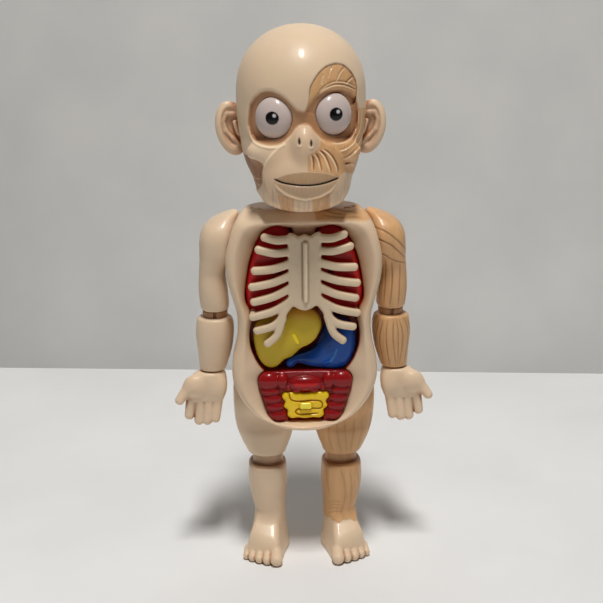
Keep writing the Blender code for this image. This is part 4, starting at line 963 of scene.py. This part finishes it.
RIB_Y, RIB_CURL, RIB_RADIUS = -20.2, 0.003, 2.15
BREASTBONE = route("0,173.9 3,173.2 7.6,174.6 8,166 7.9,156 7.9,146 8.2,140 5.4,138.4 2.6,136.9 0,136.2")
RIBS = routes("""
6,172 13,171.4 19,173
6,166 14,165.2 22,167
6,160.4 15,157.4 24,156.6
6,154.6 15,150.8 25.4,148.6
6,148.4 15,143.8 24.6,141.2
6,142 15,136.6 25.4,133.6
6,141.6 10.6,135.6 12.2,129 14.2,124 18.4,120.2
11.4,132.4 16,128.8 23.4,126.8""")
cage_plan = Plan((-31, 115), (31, 178), 0.2).shape(both_sides(BREASTBONE), 4)
for rib in RIBS:
    for s in (1, -1):
        cage_plan.bar([(s * x, z) for x, z in rib], RIB_RADIUS, RIB_RADIUS * 0.92, 1.0)


def rib_cage(x, y, z):
    d = cage_plan.read(x, z + 1.25 - 0.022 * x)
    flat = ease(-np.abs(x), -8.5, -6.0)
    form = plate(d, y, RIB_Y + RIB_CURL * x * x + 0.3 * flat, 1.9 - 0.35 * flat, 1.6)
    form = union(form, rod(x, y, z, (0.3, -21.9, 168.4), (0.3, -21.9, 140.4), 1.15), 0.3)
    form = union(form, rib_peg(x, y, z, -19, -11.6, 1.4), 0.3)
    return both(form, np.abs(x) - 29.4, 0.2)


def streak(a, b, width, soft=0.2):
    """A painted line from a to b, each an x and a z."""
    return lambda x, y, z: ease(-rod(x, 0 * y, z, (a[0], 0, a[1]), (b[0], 0, b[1]), width), -soft, soft)


# A painted highlight along the breastbone's ridge, and painted shadow beside it on the side towards -X
ridge_light, ridge_dark = streak((0.6, 168.0), (0.6, 140.8), 0.6), streak((-1.3, 168.6), (-1.3, 141.0), 0.4, 0.3)
RIB_MASKS = {"pale": lambda x, y, z: 0.8 * ridge_light(x, y, z) * ease(-y, 22.0, 22.4),
             "ink": lambda x, y, z: 0.5 * ridge_dark(x, y, z) * ease(-y, 21.0, 21.4)}
piece("ribs", rib_cage, (-31, -24, 116), (31, -11, 177), 0.4, bone_plastic, "ribs", "rib_cage", "skin", RIB_MASKS)


# ---------------------------------------------------------------- organs

LUNG = route("""
    5.4,166 8.5,172 14.5,174.4 19.6,171 23.6,161.5 26,150 26.4,141 24.4,135.2 20,134.4 13,137.6 9.6,141 9.4,150
    6.4,158""")
HEART = route("-4.6,157 -1.5,160.4 3,160.6 7.2,157 8.6,151 7,144 3.4,138.6 -0.6,141 -5,147 -6.4,152.5")
LIVER = route("""
    -22.5,128.4 -14,132.4 -4,135.6 5,133.6 8.4,127 6.6,120.4 3.2,116.4 -1.5,114.2 -7,113 -10,110.6 -11.4,107.2
    -14.2,104.6 -18,104.2 -21.6,107 -24,112 -25.2,119 -24.8,125""")
STOMACH = route("""
    10.4,132.2 17.5,130 23.6,126 25.4,119.5 24.8,112.5 21,106.4 14.5,103.2 8,102.9 2,104 -3,105.6 -6.4,103.4 -9,103.8
    -9.4,106.6 -7,109.6 -1,111.4 4.4,113.4 8,117.6 9.8,124""")
KIDNEY = route("12.4,124.4 16.6,125.4 19.6,121.8 20,116 17.6,110.8 13.8,110.2 12,112.8 13.4,117 12.2,120.6")
SMALL_BOWEL = route("0,91.6 4,92.2 8,92.6 11,92 11.9,89.6 10.4,87.4 11,84.6 9.2,82.8 9.2,80 7,78.4 3.6,78.7 0,78.2")
SERPENT = route("""
    -8.2,91.8 -7.2,88.6 -3,87.5 3,87.9 7.2,87.5 8.4,85.6 7.2,83.7 2,83.9 -3.4,83.6 -5,82.2 -3.6,80.8 1,80.9 6.4,81""")
lung_plan, heart_plan, liver_plan, stomach_plan, kidney_plan, small_plan = (
    Plan((-30, 74), (30, 178)).shape(o) for o in (LUNG, HEART, LIVER, STOMACH, KIDNEY, both_sides(SMALL_BOWEL)))


def peg(form, x, y, z, name):
    u, v, floor = PEGS[name]
    return union(form, drum(x, y, z, (u, floor - 2.2, v), (u, floor + 1.8, v), 1.45), 0.3)


def lung(x, y, z):
    outline = both(lung_plan.read(x, z) - 2.2, chest_plan.read(x, z) + 0.3)
    form = pillow(outline, y, CHEST_Y - 0.3, -14.2, 3.2, 1.6)
    # The clefts between the lobes
    for start, end in (((7, -14.2, 150.5), (26, -11.0, 157.5)), ((7, -14.2, 158.0), (16, -14.0, 150.0))):
        form = cut(form, rod(x, y, z, start, end, 0.55), 0.6)
    return peg(form, x, y, z, "lung")


def kidney(x, y, z):
    return peg(pillow(kidney_plan.read(x, z), y, CHEST_Y - 0.3, -7.6, 4.0, 2.4), x, y, z, "kidney")


def heart(x, y, z):
    form = pillow(heart_plan.read(x, z), y, -14.0, -16.6, 4.0, 1.6)
    for a, b in (((1, -16.8, 158), (3.5, -16.6, 146)), ((3.5, -16.6, 150), (6.5, -16.2, 147))):
        form = union(form, rod(x, y, z, a, b, 0.5), 0.5)
    return form


def liver(x, y, z):
    form = pillow(liver_plan.read(x, z), y, -11.4, -15.4, 5.5, 1.9)
    form = union(form, ellipsoid(x, y, z, (-12.0, -12.6, 120.0), (11.0, 3.6, 12.0)), 2.0)
    # The raised tab near its middle
    form = union(form, rod(x, y, z, (-5.3, -15.4, 121.2), (-3.5, -15.5, 117.4), 0.85), 0.7)
    return peg(form, x, y, z, "liver")


def stomach(x, y, z):
    form = pillow(stomach_plan.read(x, z), y, CHEST_Y - 5.0, -14.8, 6.5, 3.2)
    form = union(form, ellipsoid(x, y, z, (15.5, -11.4, 114.0), (8.6, 4.4, 12.0)), 3.0)
    bend = route("9.6,106.4 12.2,107.6 14.4,110.2 15.6,113.8")
    for (a, b), (c, d) in zip(bend, bend[1:]):
        form = union(form, rod(x, y, z, (a, -14.9, b), (c, -15.0, d), 0.75), 0.8)
    return peg(form, x, y, z, "stomach")


snake = Chart((-14, 76), (14, 95), 0.12)
snake.stroke(SERPENT, 0.34, 0.8, 0.02)


def small_bowel(x, y, z):
    form = pillow(small_plan.read(x, z), y, BOWEL_Y - 0.3, -18.4, 1.8, 1.4)
    form = form + snake.read(x, z) * ease(-y, 15.5, 17.0)
    knob = slab(x + 0.1 * (z - 85.6) * np.sign(x), y, z, (-2.9, -20.2, 83.9), (2.9, -16, 87.3), 0.9)
    return peg(union(form, knob, 0.5), x, y, z, "small")


# The lobes of the large bowel: x, z and three radii
COLON = route("""
    13.9,80.4,4.6,3.1,3.2 15.1,84.8,4.9,3.1,2.9 16.2,89,5,3.1,2.9 17.2,93,5,3.1,2.7 18,98.2,5.6,3.6,4.6
    11.6,98,3.4,3.4,4.4 8.6,94.6,2,2.8,1.8 4.6,93.4,2.6,2.9,1.9""")


def large_bowel(x, y, z):
    side = np.abs(x)
    # A tray that fills the recess round the small bowel
    hole = np.minimum(small_plan.read(x, z) - 0.15, np.maximum(side - 9.0, z - 90.0))
    tray = plate(np.maximum(bowel_plan.read(x, z) + 0.2, z - 102.8), y, -15.1, 1.9, 0.5)
    form = cut(tray, np.maximum(hole, -z + 70), 0.4)
    lobes = ellipsoid(x, y, z, (0, -16.4, 96.6), (9.6, 3.4, 4.0))
    for u, v, *radii in COLON:
        lobes = union(lobes, ellipsoid(side, y, z, (u, -16.2, v), radii), 0.5)
    form = both(union(form, lobes, 0.6), y - (BOWEL_Y - 0.4), 0.4)
    form = both(form, bowel_plan.read(x, z) + 0.15, 0.4)
    return peg(cut(form, small_plan.read(x, z) - 0.12, 0.3), x, y, z, "large")


# Painted highlights along the stomach's bend and across the middle of the large bowel
bend_start, bend_end = streak((12.4, 106.9), (14.6, 109.9), 0.45), streak((14.8, 110.6), (15.8, 113.6), 0.4)
bowel_light = streak((-5.0, 96.4), (5.0, 96.4), 1.0, 0.6)


def bend_light(x, y, z):
    return 0.5 * np.maximum(bend_start(x, y, z), bend_end(x, y, z))


for word, flip in SIDES:
    for part, form, low, high, look in (("lung", lung, (4, -15, 133), (28, 0, 176), lung_plastic),
                                        ("kidney", kidney, (11, -9, 109), (21, 0, 127), red_plastic)):
        name = f"{part}_{word}"
        piece(f"{part}_pad_{word}", form, low, high, 0.5, look, name, name, "red", mirror=flip)
for name, form, low, high, cell, look, node, slot, masks in (
        ("heart_pad", heart, (-8, -18, 137), (10, -13, 162), 0.45, red_plastic, "heart", "red", None),
        ("liver_pad", liver, (-27, -18, 102), (10, 0, 137), 0.45, yellow_plastic, "liver", "yellow",
         # Painted shadow across the liver's top, from the breastbone above it, and a painted highlight on its tab
         {"dark": lambda x, y, z: 0.75 * ease(z, 126, 134), "bright": streak((-5.3, 121.2), (-3.5, 117.4), 0.75)}),
        ("stomach_pad", stomach, (-11, -18, 101), (27, 0, 134), 0.45, blue_plastic, "stomach", "blue",
         # Painted shadow on the stomach's upper left, cast by the liver, and painted highlights along its bend
         {"dark": lambda x, y, z: 0.85 * ease(0.8 * z - x, 75, 88) * ease(z, 104, 110), "bright": bend_light}),
        ("small_bowel", small_bowel, (-13, -21, 77), (13, -10, 94), 0.3, bowel_plastic, "small_intestine", "yellow",
         # Painted shade in the small bowel's grooves, and a painted highlight on its knob
         {"ink": lambda x, y, z: np.clip(snake.read(x, z), 0, 1) * ease(-y, 15.5, 17.0),
          "bright": lambda x, y, z: ease(-y, 18.9, 19.3) * ease(-np.abs(x), -3.4, -3.0)}),
        ("large_bowel", large_bowel, (-24, -23, 76), (24, -10, 105), 0.4, red_plastic, "large_intestine", "red",
         # A painted highlight across the middle lobes of the large bowel
         {"bright": lambda x, y, z: 0.8 * bowel_light(x, y, z) * ease(-y, 18.0, 19.0)})):
    piece(name, form, low, high, cell, look, node, node, slot, masks)


# ---------------------------------------------------------------- limbs

UPPER_ARM = route("""
    131.2,37.5,50.9,-7.4,1,8.8,2.2 133.5,37.2,51.5,-8.4,1,9.8,2.3 141,37.6,52.2,-9.4,1,10.8,2.3
    149.6,38.5,51.8,-9.6,1,11,2.4 154,37.6,51.5,-10.6,1,12,2.5 157.5,34.6,51.2,-11.8,1,13,2.5
    161,31.7,51.2,-12.8,1,14,2.6 168,31.4,50.8,-13.6,1,14.6,2.6 173,31.4,49,-12.4,1,13.4,2.5
    176.5,31.4,45.6,-9.8,1,11.4,2.4 178.9,31.4,41.4,-7.2,1,9.2,2.3 180.4,31.6,37.4,-4.6,1,6.6,2.2
    181.3,32.4,35,-1.8,1,3.8,2""")
FOREARM = route("""
    99.3,39.9,52.9,-4.8,1,6.2,2.1 104,38.2,53.2,-6,1,7.6,2.1 110,36.4,53.6,-7,1,9,2.1 116.5,35.3,54.2,-7.8,1,9.8,2.1
    122.5,35,54,-8,1,10,2.1 127,35.9,53,-7.4,1,9.4,2.1 128.9,37.9,50.7,-5.5,1,7.4,2""")
# The x and y of a limb's axis, and the radius that angles are measured at
ARM_AXIS, THIGH_AXIS, SHIN_AXIS = (44.3, 1.0, 9.0), (19.0, 3.0, 12.0), (19.0, 2.0, 9.0)


def around(axis, x, y):
    """How far round a limb a point is, in millimetres, from 0 at its front."""
    return axis[2] * np.arctan2(x - axis[0], -(y - axis[1]))


def limb_charts(axis, strokes, low, high, width=0.34, depth=0.42, ink=0.75):
    """Relief of the grooves on a limb, and painted shade in them, drawn on its front and mirrored to its back."""
    span = axis[2] * math.pi
    relief, mark = Chart((-span, low), (span, high), 0.2), Chart((-span, low), (span, high), 0.2)
    for stroke in strokes:
        for turned in (stroke, [(span - u, v) for u, v in stroke], [(-span - u, v) for u, v in stroke]):
            relief.stroke(turned, width, depth, 0.12)
            relief.stroke(moved(turned, 0.75, 0), 0.5, -depth * 0.3, 0.3)
            mark.stroke(turned, width * 0.8, ink, 0.2)
    return relief, mark


def everywhere(x, y, z):
    return np.ones_like(x)


def halves(part, word, flip, form, axis, charts, low, high, seam, cell):
    """The front and back shells of a limb: grooved muscle on the figure's left, skin on its right."""
    relief, ink = charts
    shape, look, slot, masks = form, skin_plastic, "skin", None
    if not flip:
        look, slot = muscle_plastic, "muscle"
        # Painted shade darkens the grooves of the muscle
        masks = {"muscle": everywhere, "ink": lambda x, y, z: ink.read(around(axis, x, y), z)}

        def shape(x, y, z):
            return form(x, y, z) + relief.read(around(axis, x, y), z)

    piece(f"{part}_shell_{word}_front", lambda x, y, z: both(shape(x, y, z), y - (seam - SEAM), 0.35),
          low, (high[0], seam + 1, high[2]), cell, look, f"{part}_{word}", f"{part}_{word}_front", slot, masks, flip)
    piece(f"{part}_shell_{word}_back", lambda x, y, z: both(shape(x, y, z), (seam + SEAM) - y, 0.35),
          (low[0], seam - 1, low[2]), high, cell, look, f"{part}_{word}", f"{part}_{word}_back", slot, masks, flip)


# ---------------------------------------------------------------- arms

ARM_GROOVES = routes("""
-9.2,177.7 -6.8,173.8 -3.5,172.2 -0.4,169 3.1,164.3 7,160.6
-8.5,169.6 -4.8,168 -1.4,165.5 0.8,162.5 3.6,159.3 7.4,156.8
-7.4,162.6 -3,160.1 -1.8,158.6 -0.1,157.3 2.8,155.9 7.6,154
-0.9,156.6 -0.6,150.7 -0.6,144.7 -1,137.8 -1.6,132.6
2.3,155.3 2.8,149.7 2.7,143.7 2.7,137.7 2.6,132.8
-3.1,157.9 -3.7,149.5 -4.1,141 -4.9,133.9
7.5,153.2 7.6,145.3 7.5,138.4 7.2,133.1
11.5,154 11.8,145 11,136
-8,156 -8.6,146 -8,136
5,176 9.5,169 12.5,160.5
11,175.5 14.5,168 16,158.5""")
FOREARM_GROOVES = routes("""
-2.4,125.8 -3.2,119.3 -3.2,113 -2.5,106.6 -1.3,100.4
0.6,126.4 0.3,120.3 0.6,114 1.7,106.7 3.3,100.4
3.2,126.5 4.8,121.7 5.7,117.1 5.9,110.8 5.4,104.5 5.7,100.4
6.1,126.5 8.2,122.7 9.3,118.1 9.7,111.8 9,106.6 9,101.6
-5,125.5 -6.5,118.9 -7.2,113.4 -6.7,107 -6.4,100.8
2,126.5 2.7,121.9 3.2,115.7 3.7,109.3 4.4,100.4
9.1,125.6 11.2,120.2 13.1,113.4 12.6,104
-7.3,125.2 -9.4,117.4 -10.9,111.6 -10.6,102.3""")
arm_charts = limb_charts(ARM_AXIS, ARM_GROOVES, 130, 184)
fore_charts = limb_charts(ARM_AXIS, FOREARM_GROOVES, 98, 130, 0.32, 0.36, 0.7)


def upper_arm(x, y, z):
    lean = ease(-x, -40, -32) * (y - SHOULDER[1]) * math.tan(SHOULDER_TILT)
    form = ended(column(x + lean, y, z, UPPER_ARM), z, 131.2, 181.4, 1.2)
    form = cut(form, np.maximum(column(x, y, z, UPPER_ARM, offset=-1.3), z - 140), 0.4)
    return cut(form, drum(x, y, z, SHOULDER, along_shoulder(6), 3.8), 0.2)


def forearm(x, y, z):
    return ended(column(x, y, z, FOREARM), z, 99.3, 127.7, 1.5)


def elbow(x, y, z):
    """The collar and the peg that the forearm twists on."""
    middle = ARM_AXIS[:2]
    collar = drum(x, y, z, (*middle, 123), (*middle, 130.9), 6.3)
    shaft = drum(x, y, z, (*middle, 129), (*middle, 139), 4.4)
    slot = slab(x, y, z, (43.7, -12, 127), (44.9, 14, 131.2))
    return cut(union(collar, shaft, 0.4), both(slot, 5.4 - np.abs(y - 1)), 0.2)


PALM = route("""
    83.4,41.8,60.4,-4.4,-1.2,1.6,2.4 86.5,40.6,60.9,-5,-1.2,2.4,2.4 89,39.8,61.2,-5.6,-1,3.4,2.4
    93,39.2,60.4,-6,-0.6,4.6,2.4 96.5,39.6,57,-5.8,0.2,5.6,2.3 98.9,40.2,53.8,-4.9,0.8,6,2.2""")
# Each finger: x and z of its root, x and z of its tip
FINGERS = route("43.9,86,45.6,74 48.4,86,49.8,72.8 52.9,86,54,73 57.4,86,58.9,76")
CREASES = (((42.0, -6.4, 85.4), (50.0, -6.6, 84.6)), ((50.0, -6.6, 84.6), (58.6, -6.2, 86.6)),
           ((50.4, -7.6, 94.0), (49.8, -7.0, 88.4)), ((60.8, -7.0, 88.6), (58.6, -6.6, 86.4)))


def merged(forms, blend):
    """Forms joined one after another."""
    made = forms[0]
    for form in forms[1:]:
        made = union(made, form, blend)
    return made


def hand(x, y, z):
    form = ended(column(x, y, z, PALM), z, 83.4, 98.9, 1.2)
    digits = [rod(x, 1.12 * y, z, (x0, -1.9, z0), (x1, -2.7, z1), 2.75, 2.45) for x0, z0, x1, z1 in FINGERS]
    form = union(form, merged(digits, 0.7), 0.8)
    # Thumb, and the balls of thumb and palm
    form = union(form, rod(x, y, z, (57.4, -2.4, 92.6), (63.4, -4.6, 84.8), 3.2, 2.4), 1.4)
    form = union(form, ellipsoid(x, y, z, (55.4, -3.4, 92.0), (5.6, 3.8, 5.6)), 1.8)
    form = union(form, ellipsoid(x, y, z, (43.6, -3.2, 90.4), (3.8, 2.8, 6.0)), 2.2)
    for a, b in CREASES:
        form = cut(form, rod(x, y, z, a, b, 0.3), 0.8)
    return union(form, drum(x, y, z, (46.4, 0.8, 97.0), (46.4, 0.8, 103.0), 3.9))


for word, flip in SIDES:
    halves("upper_arm", word, flip, upper_arm, ARM_AXIS, arm_charts, (30, -15, 130), (53.5, 17, 184), 1.0, 0.45)
    halves("forearm", word, flip, forearm, ARM_AXIS, fore_charts, (34, -10, 98), (56, 12, 129), 1.0, 0.45)
    # The elbow is tinted all over with painted shade, as it sits in the upper arm's shadow
    piece("elbow_" + word, elbow, (37, -6.5, 122), (52, 8.5, 140), 0.5, skin_plastic if flip else muscle_plastic,
          "forearm_" + word, "elbow_peg_" + word, "skin", {"brown": everywhere}, flip)
    piece("palm_" + word, hand, (38, -8, 71), (66, 8, 104), 0.36, skin_plastic, "forearm_" + word, "hand_" + word,
          "skin", mirror=flip)


# ---------------------------------------------------------------- legs

THIGH = route("""
    53.8,9.6,28.9,-7.6,3,12,2.3 56.4,9,30.2,-8.6,3,13.4,2.4 61,7.2,32.4,-9.2,3,14.6,2.4 66,5.8,34.3,-9.4,3,15.6,2.5
    70,5.6,35.3,-8.6,3,16,2.6 75,5.6,35.9,-8.4,3,15.8,2.8 82,5.6,36.2,-9.8,3,15.8,3 88,5.8,36.2,-8.4,3,14.4,3
    92,6.4,35.8,-5,3,11,2.9 94.6,8,34.4,0.6,3,5.4,2.6""")
SHIN = route("""
    8,10.5,27,-8,2,11,2.3 22,10,26,-8.2,2,10.8,2.4 27,10,27.4,-9,2,11.6,2.4 38,9.1,29.3,-10.6,2,13.2,2.6
    45,9.3,29.2,-10.6,2,13,2.8 48.4,9.5,29,-10.2,2,12.8,2.8""")
THIGH_GROOVES = routes("""
-7,74 -6.8,66.6 -6.3,60.2 -4.4,55.6
-2.9,75 -2.6,67.6 -1.6,61.4 0,55.6
1.5,74 1.6,67.6 1.9,61.4 2.4,55.6
6.2,75 5.7,68.8 4.9,62.7 4.2,56
9.4,76 9.2,69.1 8.8,62.8 8.5,56
13.4,76 13.4,67.1 13.6,60.4 12.6,56
18,78 18.6,68 17,57
-12.4,72 -12.8,64 -9.6,56
-17.5,74 -17.4,64 -15,57""")
SHIN_GROOVES = routes("""
-0.8,47.6 0.4,42.2 1,37.4 1,31.3 0.1,25.3 -0.9,20.4
-6.8,26.6 -3.6,28.6 -0.4,28.6
-6.8,24.7 -3.3,26.7 -0.2,26.7
-7.2,22.7 -3.4,24.7 0,24.6
-7.3,20.7 -3.3,22.5 0.2,22.4
5.2,48.5 6.4,39.9 8.2,30 9.4,21
-6.4,47.6 -5.9,38.9 -5.4,30.7
2.6,47 3.3,38.7 3.6,30 3.4,21.4
11,48 13,38 12.4,26
-11,48 -12.4,38 -11.2,26""")
thigh_charts = limb_charts(THIGH_AXIS, THIGH_GROOVES, 52, 97, 0.5, 0.26, 0.26)
shin_relief, shin_ink = limb_charts(SHIN_AXIS, SHIN_GROOVES, 10, 62, 0.45, 0.26, 0.24)
SOLE = route("""
    19,14.6 26,12.5 28.8,4 30,-5 31.4,-11.6 29.6,-14.4 24.6,-17.4 20,-19 15.6,-20 12.9,-17 10.8,-8 8.4,2 11,12""")
# Each toe: x and y of its tip, and its radius
TOES = route("15.9,-22.6,3.1 20.5,-20.9,2.45 24.5,-19,2.35 28,-16.7,2.2 31,-14.2,2")
# The profile of the instep: y and height
TOP_OF_FOOT = route("-28,4.5 -22,7 -18,10.2 -13,14.8 -8,19.4 -4,23 2,25.5 8,22 14,13")
sole_plan = Plan((4, -32), (36, 18)).shape(SOLE)


def thigh(x, y, z):
    form = ended(column(x, y, z, THIGH), z, 53.8, 94.6, 1.3)
    return cut(form, np.maximum(column(x, y, z, THIGH, offset=-1.3), z - 64), 0.4)


def lower_leg(x, y, z):
    shin = ended(column(x, y, z, SHIN), z, 6.0, 48.4, 1.2)
    # The dip in the front of the knee
    shin = cut(shin, ellipsoid(x, y, z, (19.0, -9.6, 49.3), (6.4, 3.4, 1.2)), 0.8)
    collar = ended(np.sqrt(((x - 19) / 1.02) ** 2 + ((y - 1.8) * 1.03) ** 2) - 7.6, z, 40, 61.3, 1.0)
    shin = union(shin, collar, 0.5)
    height = np.interp(y, *np.array(TOP_OF_FOOT).T).astype(np.float32) - 0.014 * (x - 17.0) ** 2
    lean = np.maximum(z - 3.0, 0) * 0.22
    foot = both(both(sole_plan.read(x, y) + lean, 0.75 * (z - height), 2.2), 0.0 - z, 0.8)
    toes = [rod(x, y, z, (u * 0.97 + 0.3, v + 5.0, r + 2.0), (u, v, r + 0.1), r * 0.96, r) for u, v, r in TOES]
    foot = union(foot, merged(toes, 0.25), 0.9)
    return both(union(foot, shin, 3.0), -z, 0.5)


def trouser(x, y, z):
    """The muscle colour of the leg, down to its wavy edge above the foot."""
    turn = around(SHIN_AXIS, x, y)
    edge = 18.2 + 0.5 * np.sin(turn * 0.9) + 0.35 * np.sin(turn * 2.1 + 1.0)
    return ease(z - edge, -0.35, 0.35)


def bare_leg(x, y, z):
    groove = shin_relief.read(around(SHIN_AXIS, x, y), z)
    return lower_leg(x, y, z) + groove * ease(z, 18, 20) - 0.35 * trouser(x, y, z) * ease(z, 14, 18)


# Painted shade on the knee collar and the top of the shin, which sit in the thigh's shadow; the bare leg also has
# painted shade in its grooves
LEG_MASKS = {"brown": lambda x, y, z: 0.5 * ease(z, 47.9, 48.5)}
BARE_MASKS = {**LEG_MASKS, "muscle": trouser,
              "ink": lambda x, y, z: shin_ink.read(around(SHIN_AXIS, x, y), z) * ease(z, 18, 20)}
for word, flip in SIDES:
    halves("thigh", word, flip, thigh, THIGH_AXIS, thigh_charts, (5, -11, 54), (37.5, 17, 96), 3.0, 0.5)
    form, look, slot, masks = ((lower_leg, skin_plastic, "skin", LEG_MASKS) if flip else
                               (bare_leg, muscle_plastic, "muscle", BARE_MASKS))
    piece("leg_and_foot_" + word, form, (6, -28.5, -1), (35, 17, 62.5), 0.45, look, "lower_leg_" + word,
          "lower_leg_" + word, slot, masks, flip)


# ---------------------------------------------------------------- brain

BRAIN = route("""
    222.5,-23.5,23.5,-13.5,9,29,2.2 233,-25,25,-15.5,8,30,2.2 244,-24,24,-16.5,7,28,2.2 254,-21,21,-15,6,25,2.2""")


def brain(x, y, z):
    """One half of the brain, all folds between winding grooves."""
    a, b = 0.4 * x + 0.7 * np.sin(0.17 * z), 0.4 * y + 0.8 * np.sin(0.21 * x + 1.0)
    c = 0.4 * z + 0.7 * np.sin(0.19 * y)
    winding = np.sin(a) * np.cos(b) + np.sin(b) * np.cos(c) + np.sin(c) * np.cos(a)
    form = column(x, y, z, BRAIN, (229.0, 219.0), (243.0, 260.0))
    return both(form + 1.3 * np.exp(-(winding / 0.3) ** 2), 0.7 - x, 1.2)


for word, flip in SIDES:
    name = "brain_" + word
    piece("brain_half_" + word, brain, (0, -18, 218), (26, 31, 261), 0.55, brain_plastic, name, name, "brain",
          mirror=flip)


# ---------------------------------------------------------------- the CAD nodes that show

for name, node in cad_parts.items():
    node.data.materials.clear()
    node.data.materials.append(steel if name.startswith("screw") else skin_plastic)


# ---------------------------------------------------------------- camera, lights and floor

AZIMUTH, PITCH, ROLL = math.radians(2.54), math.radians(14.98), math.radians(0.535)
DISTANCE, HEIGHT = 0.5488, 0.281
IMAGE, FOCAL, SENSOR = 603.0, 1130.0, 36.0      # pixels, pixels and millimetres

lens = bpy.data.cameras.new("camera")
lens.sensor_width = SENSOR
lens.lens = FOCAL / IMAGE * SENSOR
lens.shift_x = -1.6 / IMAGE
camera = add_object("camera", lens)
turn = (Matrix.Rotation(-AZIMUTH, 4, "Z") @ Matrix.Rotation(math.radians(90) - PITCH, 4, "X")
        @ Matrix.Rotation(-ROLL, 4, "Z"))
camera.matrix_world = Matrix.Translation((-DISTANCE * math.sin(AZIMUTH), -DISTANCE * math.cos(AZIMUTH), HEIGHT)) @ turn
bpy.context.scene.camera = camera
bpy.context.scene.view_settings.view_transform = "Standard"

for name, place, target, size, power, colour in (
        ("overhead", (0.0, -0.56, 1.9), (0, -0.04, 0.1), (0.19, 0.52), 28.5, (1.0, 0.985, 0.955)),
        ("front_left", (-0.6, -0.8, 0.5), (0, 0, 0.14), (0.5, 0.5), 0.06, (1.0, 0.98, 0.96)),
        ("front_right", (0.6, -0.7, 0.5), (0, 0, 0.14), (0.5, 0.5), 0.1, (1.0, 0.97, 0.93)),
        ("backdrop_wash", (0.1, 0.5, -0.16), (0.12, 0.8, 0.12), (1.2, 0.1), 0.8, (1.0, 0.99, 0.98))):
    light = bpy.data.lights.new(name, "AREA")
    light.shape = "RECTANGLE"
    light.size, light.size_y = size
    light.energy, light.color = power, colour
    lamp = add_object(name, light)
    lamp.location = Vector(place)
    lamp.rotation_euler = (Vector(target) - Vector(place)).to_track_quat("-Z", "Y").to_euler()

world = bpy.data.worlds.new("studio")
world.use_nodes = True
world.node_tree.nodes["Background"].inputs["Color"].default_value = (0.96, 0.96, 0.95, 1.0)
world.node_tree.nodes["Background"].inputs["Strength"].default_value = 0.08
bpy.context.scene.world = world

SKEW = math.radians(-6)
TABLE_END, TABLE_EDGE = 0.29, 0.008     # metres behind the figure, and the radius of the table's edge


def sweep(name, profile, tone_a, tone_b):
    """Pale paper: a profile in metres, drawn out sideways."""
    points = [(x * math.cos(SKEW) - y * math.sin(SKEW), x * math.sin(SKEW) + y * math.cos(SKEW), z)
              for x in (-1.8, 1.8) for y, z in profile]
    n = len(profile)
    faces = np.array([(i, n + i, n + i + 1, i + 1) for i in range(n - 1)])
    made = add_mesh(name, np.array(points) / MM, faces)
    paper = Shader(name + "_paper", 0.8, 0.0, 0.2)
    tone = paper.mixed(paper.ramp(paper.noise(9.0, 4.0), 0.35, 0.65), tone_a, tone_b)
    paper.set(paper.out, {"Base Color": tone})
    paper.bump(paper.noise(1400.0, 2.0), 0.05, 0.15)
    made.data.materials.append(paper.material)


edge = [(TABLE_END + TABLE_EDGE * math.sin(t), TABLE_EDGE * math.cos(t) - TABLE_EDGE)
        for t in np.linspace(0, math.radians(90), 6)]
sweep("floor", [(-1.4, 0.0)] + edge + [(TABLE_END + TABLE_EDGE, -0.04)], srgb(240, 240, 240), srgb(234, 234, 235))
sweep("backdrop", [(0.8, -0.8), (0.82, 1.8)], srgb(226, 224, 221), srgb(218, 217, 214))
